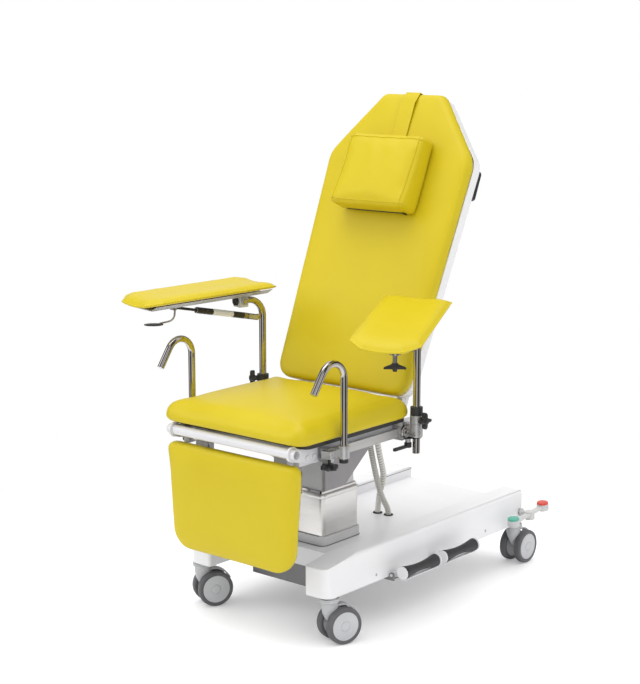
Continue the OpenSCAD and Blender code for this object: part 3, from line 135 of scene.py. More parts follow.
def surface(name, light, dark, rough, metallic=0.0, specular=0.5, coat=0.0, skin=skin_of_paint,
            stretch=(1, 1, 1), scales=(900.0, 7.0), bump=0.05, depth=0.0004, painted_shade_mask=None, painted_shade_colour=None):
    """A material for one finish: light and dark are the colour's two ends, rough the roughness's,
    skin the group that varies them, and the last two the name of a mesh attribute and the colour of painted
    shade that it lays over."""
    material = bpy.data.materials.new(name)
    material.use_nodes = True
    tree = material.node_tree
    shader = tree.nodes["Principled BSDF"]
    shader.inputs["Metallic"].default_value = metallic
    shader.inputs["Specular IOR Level"].default_value = specular
    shader.inputs["Coat Weight"].default_value = coat
    shader.inputs["Coat Roughness"].default_value = COAT_ROUGHNESS
    place = node(tree, "ShaderNodeTexCoord")
    mapping = node(tree, "ShaderNodeMapping", {"Scale": stretch})
    effect = node(tree, "ShaderNodeGroup", node_tree=skin)
    effect.inputs["Grain Scale"].default_value, effect.inputs["Blotch Scale"].default_value = scales
    tree.links.new(place.outputs["Object"], mapping.inputs["Vector"])
    tree.links.new(mapping.outputs["Vector"], effect.inputs["Vector"])
    narrow = node(tree, "ShaderNodeMapRange", {"From Min": 0.25, "From Max": 0.75})
    tree.links.new(effect.outputs["Mottle"], narrow.inputs["Value"])
    colour = node(tree, "ShaderNodeMix", data_type="RGBA")
    colour.inputs[6].default_value = (*dark, 1)
    colour.inputs[7].default_value = (*light, 1)
    tree.links.new(narrow.outputs["Result"], colour.inputs[0])
    result = colour.outputs[2]
    # Painted shade: where the mesh attribute is set, a dark colour is mixed over the finish.
    if painted_shade_mask:
        painted = node(tree, "ShaderNodeAttribute", attribute_name=painted_shade_mask)
        over = node(tree, "ShaderNodeMix", data_type="RGBA")
        over.inputs[7].default_value = (*painted_shade_colour, 1)
        tree.links.new(painted.outputs["Fac"], over.inputs[0])
        tree.links.new(result, over.inputs[6])
        result = over.outputs[2]
    tree.links.new(result, shader.inputs["Base Color"])
    gloss = node(tree, "ShaderNodeMapRange", {"To Min": rough[0], "To Max": rough[1]})
    tree.links.new(narrow.outputs["Result"], gloss.inputs["Value"])
    tree.links.new(gloss.outputs["Result"], shader.inputs["Roughness"])
    relief = node(tree, "ShaderNodeBump", {"Strength": bump, "Distance": depth})
    tree.links.new(effect.outputs["Height"], relief.inputs["Height"])
    tree.links.new(relief.outputs["Normal"], shader.inputs["Normal"])
    return material


def piece(name, bm, material, body, angle=40):
    """A finished mesh in the scene: shaded smooth but for its sharp edges, and riding on its body."""
    for face in bm.faces:
        face.smooth = True
    for edge in bm.edges:
        edge.smooth = len(edge.link_faces) == 2 and edge.calc_face_angle(0) < math.radians(angle)
    mesh = bpy.data.meshes.new(name)
    bm.to_mesh(mesh)
    bm.free()
    mesh.materials.append(material)
    made = bpy.data.objects.new(name, mesh)
    bpy.context.scene.collection.objects.link(made)
    if body:
        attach(made, body)
    return made


CURVE_STEPS = 40


def smooth_line(points, step):
    """A smooth line through the points, with its own points a step apart."""
    p = [Vector(q) for q in points]
    fine = []
    for k in range(len(p) - 1):
        a, b, c, d = p[max(k - 1, 0)], p[k], p[k + 1], p[min(k + 2, len(p) - 1)]
        for i in range(CURVE_STEPS):
            f = i / CURVE_STEPS
            bend, swing = 2 * a - 5 * b + 4 * c - d, 3 * b - a - 3 * c + d
            fine.append(0.5 * (2 * b + (c - a) * f + bend * f * f + swing * f ** 3))
    fine.append(p[-1])
    run = [0.0]
    for a, b in zip(fine, fine[1:]):
        run.append(run[-1] + (b - a).length)
    count = max(2, round(run[-1] / step))
    out, k = [], 0
    for i in range(count + 1):
        want = run[-1] * i / count
        while k < len(run) - 2 and run[k + 1] < want:
            k += 1
        share = (want - run[k]) / max(run[k + 1] - run[k], 1e-9)
        out.append(fine[k].lerp(fine[k + 1], share))
    return out


def swept(line, sides, shape, closed=False):
    """A tube along a line, its ring drawn on step by step. shape(i, j) gives the radius and the groove's
    depth, 0 to 1, at ring i and side j; the depth is kept in the groove layer, which paints shade."""
    bm = bmesh.new()
    layer = bm.verts.layers.float.new("groove")
    up = Vector((0.13, 0.97, 0.21)).normalized()
    ring = bmesh.ops.create_circle(bm, segments=sides, radius=1)["verts"]
    rings, n = [ring], len(line)

    def ring_edges(loop):
        return [bm.edges.get((loop[j], loop[(j + 1) % sides])) for j in range(sides)]

    for i in range(1, n):
        grown = bmesh.ops.extrude_edge_only(bm, edges=ring_edges(ring))
        fresh = [v for v in grown["geom"] if isinstance(v, bmesh.types.BMVert)]
        links = {e.other_vert(v): v for v in fresh for e in v.link_edges}
        ring = [links[v] for v in ring]
        rings.append(ring)
    for i, ring in enumerate(rings):
        if closed:
            ahead, behind = line[(i + 1) % n], line[i - 1]
        else:
            ahead, behind = line[min(i + 1, n - 1)], line[max(i - 1, 0)]
        way = (ahead - behind).normalized()
        side = way.cross(up).normalized()
        rise = side.cross(way)
        for j, v in enumerate(ring):
            turn = 2 * math.pi * j / sides
            radius, v[layer] = shape(i, j)
            v.co = line[i] + radius * (math.cos(turn) * side + math.sin(turn) * rise)
    if closed:
        bmesh.ops.bridge_loops(bm, edges=ring_edges(rings[0]) + ring_edges(rings[-1]))
    else:
        bmesh.ops.holes_fill(bm, edges=bm.edges, sides=0)
    bmesh.ops.recalc_face_normals(bm, faces=bm.faces)
    return bm


def ribbed(i, j):
    """Rings with a groove between each two."""
    depth = max(0.0, math.cos(2 * math.pi * i / RIB_STEPS)) ** 1.5
    return HOSE_R - RIB_DEPTH * depth, depth


def wrapped(i, j):
    """A smooth sleeve first, and then a band wound round and round with a narrow gap."""
    if i * WRAP_PITCH / WRAP_STEPS < SLEEVE_END:
        return HOSE_R - SLEEVE_THINNER, 0.0
    depth = max(0.0, 1 - abs((i / WRAP_STEPS + j / HOSE_SIDES) % 1 - 0.5) / WRAP_GAP)
    return HOSE_R - WRAP_DEPTH * depth, depth


# The ribbed hose's grooves and the wrap's gap are painted near black as shade.
hose_plastic = surface("hose_plastic", (0.76, 0.745, 0.69), (0.68, 0.665, 0.61), (0.38, 0.5),
                       painted_shade_mask="groove", painted_shade_colour=(0.055, 0.052, 0.045))
hoses = []
for name, route, step, shape in (("hose_ribbed", RIBBED_ROUTE, RIB_PITCH / RIB_STEPS, ribbed),
                                 ("hose_wrapped", WRAPPED_ROUTE, WRAP_PITCH / WRAP_STEPS, wrapped)):
    line = smooth_line([at(*p) for p in route], step)
    hose = piece(name, swept(line, HOSE_SIDES, shape), hose_plastic, None, angle=80)
    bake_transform(hose, "chassis", "seat", start=at(20, 500, 200), end=at(40, 412, 480))
    hoses.append(hose)
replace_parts(hoses[0], "conduits")


def spun_ring(outline, steps):
    """A ring: outline is a closed line of (radius, height) in millimetres, spun round Z."""
    bm = bmesh.new()
    verts = [bm.verts.new((r / 1000, 0, z / 1000)) for r, z in outline]
    edges = [bm.edges.new((a, b)) for a, b in zip(verts, verts[1:] + verts[:1])]
    bmesh.ops.spin(bm, geom=verts + edges, cent=(0, 0, 0), axis=(0, 0, 1), angle=2 * math.pi, steps=steps,
                   use_merge=True)
    bmesh.ops.remove_doubles(bm, verts=bm.verts, dist=1e-6)
    bmesh.ops.recalc_face_normals(bm, faces=bm.faces)
    return bm


# A grommet's flange lies on the deck round the hose, and its neck goes down through the sheet.
GROMMET = [(8.2, -3), (8.2, 1.4), (9.2, 3.2), (11.0, 3.6), (13.2, 2.6), (14.0, 1.0), (14.0, 0.0),
           (9.7, 0.0), (9.7, -3)]
rubber = surface("grommet_rubber", (0.030, 0.030, 0.032), (0.018, 0.018, 0.020), (0.45, 0.6),
                 scales=(1400.0, 30.0))
for name, (x, y, _) in (("grommet_ribbed", RIBBED_ROUTE[0]), ("grommet_wrapped", WRAPPED_ROUTE[0])):
    bm = spun_ring(GROMMET, 36)
    bmesh.ops.translate(bm, vec=at(x, y, DECK_Z), verts=bm.verts)
    piece(name, bm, rubber, "chassis", angle=50)

# STUDIO
# A white floor that keeps the chair's soft shadow and fades into a white room, one large soft box
# overhead, two smaller ones in front, and dark flags in the room that only polished metal sees.
ROOM_WHITE = {"Color": (1, 1, 1, 1), "Strength": 1.0}
FLAGS = [(0.0, 0.10), (0.05, 0.07), (0.09, 0.9), (0.13, 0.9), (0.16, 0.10), (0.28, 0.06), (0.33, 0.5),
         (0.37, 1.0), (0.42, 0.9), (0.45, 0.10), (0.56, 0.05), (0.60, 0.6), (0.65, 1.0), (0.68, 0.12),
         (0.80, 0.05), (0.86, 0.8), (0.91, 1.0), (0.94, 0.12), (1.0, 0.10)]


def flags_by_compass(tree, parts):
    """Dark and bright upright bands all round, by the compass direction of a point."""
    compass = node(tree, "ShaderNodeMath", operation="ARCTAN2")
    tree.links.new(parts.outputs["X"], compass.inputs[0])
    tree.links.new(parts.outputs["Y"], compass.inputs[1])
    turn = node(tree, "ShaderNodeMapRange", {"From Min": -math.pi, "From Max": math.pi})
    tree.links.new(compass.outputs[0], turn.inputs["Value"])
    flags = node(tree, "ShaderNodeValToRGB")
    tree.links.new(turn.outputs["Result"], flags.inputs["Fac"])
    ramp = flags.color_ramp
    while len(ramp.elements) < len(FLAGS):
        ramp.elements.new(0.5)
    for element, (place, grey) in zip(ramp.elements, FLAGS):
        element.position = place
        element.color = (grey, grey * 0.98, grey * 0.96, 1)
    return flags


def mixed(tree, factor, first, second):
    """The first shader where the factor is 0 and the second where it is 1."""
    mix = node(tree, "ShaderNodeMixShader")
    tree.links.new(factor, mix.inputs[0])
    tree.links.new(first.outputs[0], mix.inputs[1])
    tree.links.new(second.outputs[0], mix.inputs[2])
    return mix


room = bpy.data.worlds.new("room")
bpy.context.scene.world = room
room.use_nodes = True
tree = room.node_tree
tree.nodes.clear()
rays = node(tree, "ShaderNodeLightPath")
bright = node(tree, "ShaderNodeBackground", ROOM_WHITE)
plain = node(tree, "ShaderNodeBackground", ROOM_WHITE)
spot = node(tree, "ShaderNodeTexCoord")
parts = node(tree, "ShaderNodeSeparateXYZ")
sky_range = {"From Min": -0.1, "From Max": 1.0, "To Min": 0.52, "To Max": 1.5}
overhead = node(tree, "ShaderNodeMapRange", sky_range)
tree.links.new(spot.outputs["Generated"], parts.inputs[0])
tree.links.new(parts.outputs["Z"], overhead.inputs["Value"])
tree.links.new(overhead.outputs["Result"], plain.inputs["Strength"])
striped = node(tree, "ShaderNodeBackground", {"Strength": 0.9})
tree.links.new(flags_by_compass(tree, parts).outputs["Color"], striped.inputs["Color"])
metal_sees = mixed(tree, rays.outputs["Is Glossy Ray"], plain, striped)
seen = node(tree, "ShaderNodeMath", operation="MAXIMUM")
tree.links.new(rays.outputs["Is Camera Ray"], seen.inputs[0])
tree.links.new(rays.outputs["Is Transmission Ray"], seen.inputs[1])
all_rays = mixed(tree, seen.outputs[0], metal_sees, bright)
tree.links.new(all_rays.outputs[0], node(tree, "ShaderNodeOutputWorld").inputs["Surface"])

# The floor is lifted a little for the camera near the chair and is plain white farther out, where it
# shows the flags to metal.
FLOOR_R = 14
FADE_FROM, FADE_TO = 0.65, 1.6
FLAGS_FROM, FLAGS_TO = 1.1, 1.9
floor_white = bpy.data.materials.new("floor_white")
floor_white.use_nodes = True
tree = floor_white.node_tree
shader = tree.nodes["Principled BSDF"]
shader.inputs["Base Color"].default_value = (0.88, 0.88, 0.89, 1)
shader.inputs["Roughness"].default_value = 0.7
shader.inputs["Specular IOR Level"].default_value = 0.1
glow = node(tree, "ShaderNodeEmission", ROOM_WHITE)
lift = node(tree, "ShaderNodeEmission", {"Color": (1, 1, 1, 1), "Strength": 0.22})
rays = node(tree, "ShaderNodeLightPath")
lifted = node(tree, "ShaderNodeAddShader")
tree.links.new(shader.outputs[0], lifted.inputs[0])
tree.links.new(lift.outputs[0], lifted.inputs[1])
near = mixed(tree, rays.outputs["Is Camera Ray"], shader, lifted)
place = node(tree, "ShaderNodeTexCoord")
reach = node(tree, "ShaderNodeVectorMath", operation="LENGTH")
tree.links.new(place.outputs["Object"], reach.inputs[0])


def only_for(ray, start, end):
    """A factor that rises from 0 to 1 between two distances from the chair, for one kind of ray."""
    distances = {"From Min": start, "From Max": end}
    far = node(tree, "ShaderNodeMapRange", distances, interpolation_type="SMOOTHSTEP")
    tree.links.new(reach.outputs["Value"], far.inputs["Value"])
    both = node(tree, "ShaderNodeMath", operation="MULTIPLY")
    tree.links.new(far.outputs["Result"], both.inputs[0])
    tree.links.new(rays.outputs[ray], both.inputs[1])
    return both.outputs[0]


whole = mixed(tree, only_for("Is Camera Ray", FADE_FROM, FADE_TO), near, glow)
spread_out = node(tree, "ShaderNodeSeparateXYZ")
tree.links.new(place.outputs["Object"], spread_out.inputs[0])
mirrored = node(tree, "ShaderNodeEmission", {"Strength": 0.85})
tree.links.new(flags_by_compass(tree, spread_out).outputs["Color"], mirrored.inputs["Color"])
in_metal = mixed(tree, only_for("Is Glossy Ray", FLAGS_FROM, FLAGS_TO), whole, mirrored)
tree.links.new(in_metal.outputs[0], tree.nodes["Material Output"].inputs["Surface"])
bm = bmesh.new()
bmesh.ops.create_circle(bm, segments=96, radius=FLOOR_R, cap_ends=True)
floor = piece("floor", bm, floor_white, None)
for name, energy, size, place, aim in (("soft_box_top", 58, 3.2, (-0.6, -0.6, 4.6), (0, 0, 0.4)),
                                       ("soft_box_left", 20, 2.2, (-2.6, -3.0, 2.4), (0, 0, 0.7)),
                                       ("soft_box_right", 8, 1.6, (3.4, -1.2, 1.6), (0, 0, 0.6))):
    lamp = bpy.data.objects.new(name, bpy.data.lights.new(name, "AREA"))
    bpy.context.scene.collection.objects.link(lamp)
    lamp.data.shape = "SQUARE"
    lamp.data.size = size
    lamp.data.energy = energy
    lamp.location = place
    lamp.rotation_euler = (Vector(aim) - Vector(place)).to_track_quat("-Z", "Y").to_euler()

# CHASSIS COVER
# One white moulding over the steel base: a flat deck between two raised sides that run forward as
# legs. It is sprayed satin, its rims are rolled over, and each side is held by two small screws.
def softened(source, name, width, material, body, segments=2):
    """A copy of a CAD node with its doubles merged and its sharp edges broken by a small round."""
    bm = bmesh.new()
    bm.from_mesh(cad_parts[source].data)
    bmesh.ops.remove_doubles(bm, verts=bm.verts, dist=1e-5)
    bmesh.ops.dissolve_limit(bm, angle_limit=math.radians(0.6), verts=bm.verts, edges=bm.edges)
    edges = [e for e in bm.edges if len(e.link_faces) == 2 and e.calc_face_angle(0) > math.radians(30)
             and e.calc_length() > 0.0003]
    bmesh.ops.bevel(bm, geom=edges, offset=width, offset_type="OFFSET", segments=segments, profile=0.5,
                    affect="EDGES", material=-1, clamp_overlap=False)
    for layers in (bm.loops.layers.float_vector, bm.loops.layers.uv):
        for layer in list(layers):
            layers.remove(layer)
    made = piece(name, bm, material, body, angle=50)
    for attribute in [a for a in made.data.attributes if a.name == "custom_normal"]:
        made.data.attributes.remove(attribute)
    even = made.modifiers.new("even", "WEIGHTED_NORMAL")
    even.keep_sharp = True
    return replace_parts(made, source)


# The white finish carries painted shade: dark grey on the far side's inner wall.
cover_white = surface("cover_white", (0.83, 0.83, 0.84), (0.775, 0.775, 0.79), (0.30, 0.42), coat=0.15,
                      painted_shade_mask="inner_wall_painted_shade", painted_shade_colour=(0.26, 0.26, 0.27), scales=(700.0, 5.0), bump=0.035,
                      depth=0.0006)
cover = softened("chassis_cover", "cover_shell", 0.0012, cover_white, "chassis")
# The inner wall of the far side is painted dark grey as shade, from just above the deck up.
SHADE_WALL_LOW, SHADE_WALL_HIGH = 0.197, 0.32
inner_wall_painted_shade = cover.data.attributes.new("inner_wall_painted_shade", "FLOAT", "FACE")
for face in cover.data.polygons:
    inner = face.normal.x > 0.9 and face.center.x < -0.1 and SHADE_WALL_LOW < face.center.z < SHADE_WALL_HIGH
    inner_wall_painted_shade.data[face.index].value = 1.0 if inner else 0.0


def turned(profile, steps=32):
    """A turned solid: profile is an open line of (radius, height) in millimetres, spun round Z."""
    bm = bmesh.new()
    verts = [bm.verts.new((r / 1000, 0, z / 1000)) for r, z in profile]
    edges = [bm.edges.new((a, b)) for a, b in zip(verts, verts[1:])]
    bmesh.ops.spin(bm, geom=verts + edges, cent=(0, 0, 0), axis=(0, 0, 1), angle=2 * math.pi, steps=steps,
                   use_merge=True)
    bmesh.ops.remove_doubles(bm, verts=bm.verts, dist=1e-6)
    holes = [e for e in bm.edges if len(e.link_faces) < 2]
    if holes:
        bmesh.ops.holes_fill(bm, edges=holes, sides=0)
    bmesh.ops.recalc_face_normals(bm, faces=bm.faces)
    return bm


def along(way, spot):
    """The placing that turns a shape's Z axis to a direction and moves it to a spot."""
    return Matrix.Translation(spot) @ Vector(way).to_track_quat("Z", "Y").to_matrix().to_4x4()


def turned_piece(name, profile, steps, place, material, body, angle=40):
    """A turned solid in its place."""
    bm = turned(profile, steps)
    bmesh.ops.transform(bm, matrix=place, verts=bm.verts)
    return piece(name, bm, material, body, angle=angle)


SIDES = ((-1, "l", "left"), (1, "r", "right"))
SCREW_HEAD = [(0, -1.0), (3.6, -1.0), (3.6, 0.25), (3.1, 0.7), (1.5, 0.75), (1.4, 0.1), (0, 0.1)]
COVER_SIDE_X, SCREW_Z, SCREW_LEAN = 251.2, 146, 0.09
screw_steel = surface("screw_steel", (0.42, 0.42, 0.44), (0.30, 0.30, 0.32), (0.25, 0.4), metallic=1.0,
                      scales=(900.0, 60.0))
for side, mark, _ in SIDES:
    for k, y in enumerate((175, 690)):
        place = along((side, 0, SCREW_LEAN), at(side * COVER_SIDE_X, y, SCREW_Z))
        turned_piece(f"cover_screw_{mark}{k}", SCREW_HEAD, 20, place, screw_steel, "chassis", angle=30)

# STEEL BASE
# A frame of square steel tube under the cover, sprayed dark grey, with the grey sheet-metal foot box
# of the lifting column and the brackets and bearings of the foot controls welded to it.
foot_grey = surface("foot_grey", (0.245, 0.24, 0.25), (0.205, 0.20, 0.21), (0.42, 0.55), scales=(800.0, 9.0),
                    bump=0.05)
softened("base_frame", "steel_base", 0.0008, foot_grey, "chassis")

# LIFTING COLUMN
# Three nested square stages: the wide outer one is brushed stainless steel with a rolled lip, the
# middle one is polished, and the inner one is sprayed light. A grey skirt covers the foot.
def brushed_lines():
    """Fine straight scratches as Height and as soft bands of Mottle, along the vector's short scale."""
    tree, start, end = finish_group("brushed_lines", 500.0, 30.0)
    fine = node(tree, "ShaderNodeTexNoise", {"Detail": 3.0, "Roughness": 0.7})
    band = node(tree, "ShaderNodeTexNoise", {"Detail": 5.0, "Roughness": 0.6})
    for made, label in ((fine, "Grain Scale"), (band, "Blotch Scale")):
        tree.links.new(start.outputs["Vector"], made.inputs["Vector"])
        tree.links.new(start.outputs[label], made.inputs["Scale"])
    tree.links.new(fine.outputs["Fac"], end.inputs["Height"])
    tree.links.new(band.outputs["Fac"], end.inputs["Mottle"])
    return tree


brushed = brushed_lines()
column_steel = surface("column_steel", (0.93, 0.92, 0.90), (0.84, 0.83, 0.81), (0.26, 0.40), metallic=0.9,
                       skin=brushed, stretch=(0.03, 0.03, 1.0), scales=(900.0, 60.0), bump=0.12, depth=0.0003)
skirt_grey = surface("skirt_grey", (0.60, 0.60, 0.60), (0.54, 0.54, 0.54), (0.34, 0.46), coat=0.1)
chrome = surface("chrome", (0.58, 0.56, 0.55), (0.50, 0.48, 0.47), (0.06, 0.11), metallic=1.0,
                 scales=(300.0, 25.0), bump=0.01)
stage_light = surface("stage_light", (0.62, 0.62, 0.61), (0.55, 0.55, 0.54), (0.3, 0.42), coat=0.1)
# This dark grey is painted shade: the shadow gap round the foot of the skirt.
shadow_gap_grey = surface("shadow_gap_grey", (0.22, 0.22, 0.23), (0.17, 0.17, 0.18), (0.6, 0.7))
softened("column_skirt", "column_foot_skirt", 0.0030, skirt_grey, "chassis", segments=3)
softened("outer_column", "column_outer_stage", 0.0008, column_steel, "chassis")
softened("middle_column", "column_middle_stage", 0.0006, chrome, "column_middle")
softened("inner_column", "column_inner_stage", 0.0006, stage_light, "seat")
COLUMN_Y = 237


def square_ring(half_x, half_y, radius, section, z):
    """A frame swept round the column: section is a list of (out, up) in millimetres from its outline."""
    bm = bmesh.new()
    corners = [(sx * half_x / 1000, sy * half_y / 1000, 0) for sx, sy in ((-1, -1), (1, -1), (1, 1), (-1, 1))]
    face = bm.faces.new([bm.verts.new(corner) for corner in corners])
    bmesh.ops.bevel(bm, geom=list(face.verts), offset=radius / 1000, offset_type="OFFSET", segments=8,
                    profile=0.5, affect="VERTICES", material=-1)
    line = [loop.vert.co.copy() for loop in bm.faces[:][0].loops]
    bm.free()
    line = [a for a, b in zip(line, line[1:] + line[:1]) if (a - b).length > 1e-6]
    bm = bmesh.new()
    rings, n = [], len(line)
    for i, spot in enumerate(line):
        way = (line[(i + 1) % n] - line[i - 1]).normalized()
        out = Vector((way.y, -way.x, 0))
        out = out if out.dot(spot) > 0 else -out
        rings.append([bm.verts.new(spot + out * u / 1000 + Vector((0, 0, v / 1000))) for u, v in section])
    m = len(section)
    for a, b in zip(rings, rings[1:] + rings[:1]):
        for j in range(m):
            bm.faces.new((a[j], b[j], b[(j + 1) % m], a[(j + 1) % m]))
    bmesh.ops.recalc_face_normals(bm, faces=bm.faces)
    bmesh.ops.translate(bm, vec=at(0, COLUMN_Y, z), verts=bm.verts)
    return bm


# The rolled lip stands 1.6 mm proud of the outer stage; a thin dark bead at the skirt's foot is painted
# shadow.
STAGE_TOP_Z = 335
LIP = [(-3.4, 0.4), (-2.6, 2.2), (-0.8, 2.8), (0.9, 2.0), (1.6, 0.0), (1.6, -8.0), (0.9, -9.2), (-0.2, -9.4),
       (-0.2, -0.6)]
SHADOW_GAP_BEAD = [(0.0, 0.0), (2.2, 0.0), (2.6, 0.9), (1.8, 1.9), (0.0, 2.2)]
piece("column_lip", square_ring(78, 79, 14, LIP, STAGE_TOP_Z), column_steel, "chassis", angle=50)
piece("skirt_shadow_gap", square_ring(83.6, 84.6, 20, SHADOW_GAP_BEAD, DECK_Z), shadow_gap_grey, "chassis", angle=50)

# HEAD BRACKET
# Welded grey steel cheeks on the inner stage carry the seat, with a strut between them in front.
bracket_grey = surface("bracket_grey", (0.33, 0.315, 0.325), (0.275, 0.262, 0.27), (0.38, 0.5),
                       scales=(800.0, 8.0), bump=0.05)
softened("top_bracket", "head_bracket", 0.0010, bracket_grey, "seat")

# CASTERS
# Four twin-wheel casters on steel stems: a moulded light grey fork with two thin grooves at its collar
# and a hood over the wheels, grey rubber tyres with fine rings, and flush discs with a raised cap.
CASTERS = {"fl": (-231, 2, -28), "fr": (231, 2, -20), "rl": (-231, 868, -5), "rr": (231, 868, 0)}
WHEEL_R, TRAIL, WHEEL_IN = 0.050, 0.030, 0.014
AXLE = Vector((0, TRAIL, WHEEL_R))
COLLAR = [(0, 108.5), (16.5, 108.5), (21.0, 110.5), (24.6, 113.2), (26.4, 115.2), (26.9, 117.6),
          (26.6, 119.4), (25.9, 119.9), (25.9, 121.1), (26.6, 121.5), (26.4, 123.6), (25.6, 124.0),
          (20.0, 124.0), (20.0, 127.6), (0, 127.6)]
# The fork's body narrows from the collar to the web between the wheels: height, half width, half
# length and how far its middle lies behind the stem.
FORK_TOP_R, FORK_TOP_Z = 0.0215, 0.111
FORK_LEVELS = ((0.098, 0.0205, 0.0225, 0.001), (0.084, 0.0165, 0.0235, 0.004), (0.070, 0.0122, 0.0220, 0.009),
               (0.056, 0.0118, 0.0190, 0.017), (0.046, 0.0112, 0.0140, 0.024), (0.040, 0.0090, 0.0080, 0.028))
# The hood is a curved guard over the tops of both wheels: its section is turned about the axle.
HOOD_HALF, HOOD_LOW, HOOD_HIGH, HOOD_EDGE = 0.0118, 0.0512, 0.0552, 0.001
HOOD_START, HOOD_ARC = 38, -104
# From the hub outwards: tyre crown with two fine grooves on each shoulder, and the side wall.
TYRE = [(38.6, 1.4), (40.5, 0.5), (46.0, 0.3), (48.6, 1.6), (49.4, 3.4), (49.1, 3.9), (49.6, 4.4),
        (50.0, 7.0), (50.0, 11.0), (50.0, 15.0), (49.6, 17.6), (49.1, 18.1), (49.4, 18.6), (48.4, 20.6),
        (46.4, 21.6), (44.4, 21.9), (43.9, 21.4), (43.4, 21.8), (40.6, 21.7), (39.8, 21.0), (39.1, 20.3),
        (38.6, 20.3)]
# The disc stands flush in the tyre, with a fine ring round its raised cap.
DISC = [(0, 3.0), (38.4, 3.0), (38.9, 8.0), (38.9, 20.0), (38.3, 20.9), (37.2, 21.2), (14.2, 21.0),
        (13.7, 20.4), (13.3, 20.4), (12.9, 21.3), (11.8, 21.9), (6.0, 22.4), (0, 22.5)]
AXLE_PIN = [(0, -14), (5.0, -14), (5.0, 14), (0, 14)]
fork_grey = surface("fork_grey", (0.52, 0.53, 0.54), (0.46, 0.47, 0.48), (0.32, 0.45), scales=(900.0, 14.0),
                    bump=0.04)
tyre_grey = surface("tyre_grey", (0.135, 0.135, 0.142), (0.10, 0.10, 0.107), (0.42, 0.58),
                    scales=(1300.0, 26.0), bump=0.10)
disc_grey = surface("disc_grey", (0.56, 0.57, 0.585), (0.50, 0.51, 0.525), (0.30, 0.42), scales=(900.0, 18.0),
                    bump=0.03)


def fork_body():
    """The fork's neck, drawn down level by level from a circle under the collar."""
    bm = bmesh.new()
    bmesh.ops.create_circle(bm, cap_ends=True, segments=40, radius=FORK_TOP_R,
                            matrix=Matrix.Translation((0, 0, FORK_TOP_Z)))
    face = bm.faces[:][0]
    for z, wide, long, shift in FORK_LEVELS:
        new = bmesh.ops.extrude_face_region(bm, geom=[face])
        bmesh.ops.delete(bm, geom=[face], context="FACES_ONLY")
        face = next(g for g in new["geom"] if isinstance(g, bmesh.types.BMFace))
        middle = face.calc_center_median()
        for v in face.verts:
            flat = Vector((v.co.x - middle.x, v.co.y - middle.y, 0)).normalized()
            v.co = Vector((flat.x * wide, shift + flat.y * long, z))
    bmesh.ops.recalc_face_normals(bm, faces=bm.faces)
    return bm


def fork_hood():
    """The guard's section, with its outer corners cut off, spun round the axle."""
    bm = bmesh.new()
    section = [(-HOOD_HALF, HOOD_LOW), (HOOD_HALF, HOOD_LOW), (HOOD_HALF, HOOD_HIGH - HOOD_EDGE),
               (HOOD_HALF - HOOD_EDGE, HOOD_HIGH), (HOOD_EDGE - HOOD_HALF, HOOD_HIGH),
               (-HOOD_HALF, HOOD_HIGH - HOOD_EDGE)]
    verts = [bm.verts.new((a, TRAIL, WHEEL_R + b)) for a, b in section]
    edges = [bm.edges.new((a, b)) for a, b in zip(verts, verts[1:] + verts[:1])]
    bmesh.ops.rotate(bm, cent=AXLE, matrix=Matrix.Rotation(math.radians(HOOD_START), 3, "X"), verts=bm.verts)
    bmesh.ops.spin(bm, geom=verts + edges, cent=AXLE, axis=(1, 0, 0), angle=math.radians(HOOD_ARC), steps=26)
    bmesh.ops.holes_fill(bm, edges=[e for e in bm.edges if len(e.link_faces) == 1], sides=0)
    bmesh.ops.recalc_face_normals(bm, faces=bm.faces)
    return bm


def wheel_piece(name, bm, way, spot, place, material, body):
    """A shape set on the axle's line and then set in its caster's place, riding on the wheels."""
    bmesh.ops.transform(bm, matrix=along(way, spot), verts=bm.verts)
    bmesh.ops.transform(bm, matrix=place, verts=bm.verts)
    return piece(name, bm, material, body)


for tag, (x, y, turn) in CASTERS.items():
    place = Matrix.Translation(at(x, y, 0)) @ Matrix.Rotation(math.radians(turn), 4, "Z")
    collar = piece(f"fork_collar_{tag}", turned(COLLAR, 48), fork_grey, None, angle=25)
    body = piece(f"fork_body_{tag}", fork_body(), fork_grey, None, angle=60)
    hood = piece(f"fork_hood_{tag}", fork_hood(), fork_grey, None, angle=35)
    for made in (collar, body, hood):
        made.data.transform(place)
        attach(made, f"fork_{tag}")
    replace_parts(body, f"caster_fork_{tag}")
    wheels = f"wheels_{tag}"
    for side, mark, _ in SIDES:
        spot = Vector((side * WHEEL_IN, TRAIL, WHEEL_R))
        tyre = wheel_piece(f"tyre_{tag}_{mark}", spun_ring(TYRE, 72), (side, 0, 0), spot, place, tyre_grey,
                           wheels)
        if side > 0:
            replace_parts(tyre, f"caster_wheels_{tag}")
        disc = wheel_piece(f"disc_{tag}_{mark}", turned(DISC, 72), (side, 0, 0), spot, place, disc_grey,
                           wheels)
    wheel_piece(f"axle_{tag}", turned(AXLE_PIN, 24), (1, 0, 0), AXLE, place, screw_steel, wheels)

# SEAT FRAME
# Welded square steel tube sprayed pale grey, with laser-cut end plates for the leg rest's tube and a
# plywood board under the cushion. The accessory rails stand off the tubes on spacers, with end screws.
frame_light = surface("frame_light", (0.70, 0.70, 0.72), (0.64, 0.64, 0.66), (0.26, 0.38), coat=0.15,
                      scales=(700.0, 6.0), bump=0.03, depth=0.0006)
rail_steel = surface("rail_steel", (0.60, 0.59, 0.58), (0.50, 0.49, 0.48), (0.28, 0.42), metallic=0.5,
                     skin=brushed, stretch=(1.0, 0.03, 1.0), scales=(900.0, 60.0), bump=0.10, depth=0.0003)
board_black = surface("board_black", (0.040, 0.040, 0.042), (0.026, 0.026, 0.028), (0.55, 0.7),
                      scales=(900.0, 20.0), bump=0.15)
softened("seat_frame", "seat_tubes", 0.0018, frame_light, "seat", segments=3)
softened("end_plates", "seat_end_plates", 0.0006, frame_light, "seat")
softened("side_rails", "accessory_rails", 0.0012, rail_steel, "seat", segments=3)
softened("seat_board", "seat_plywood", 0.0010, board_black, "seat")

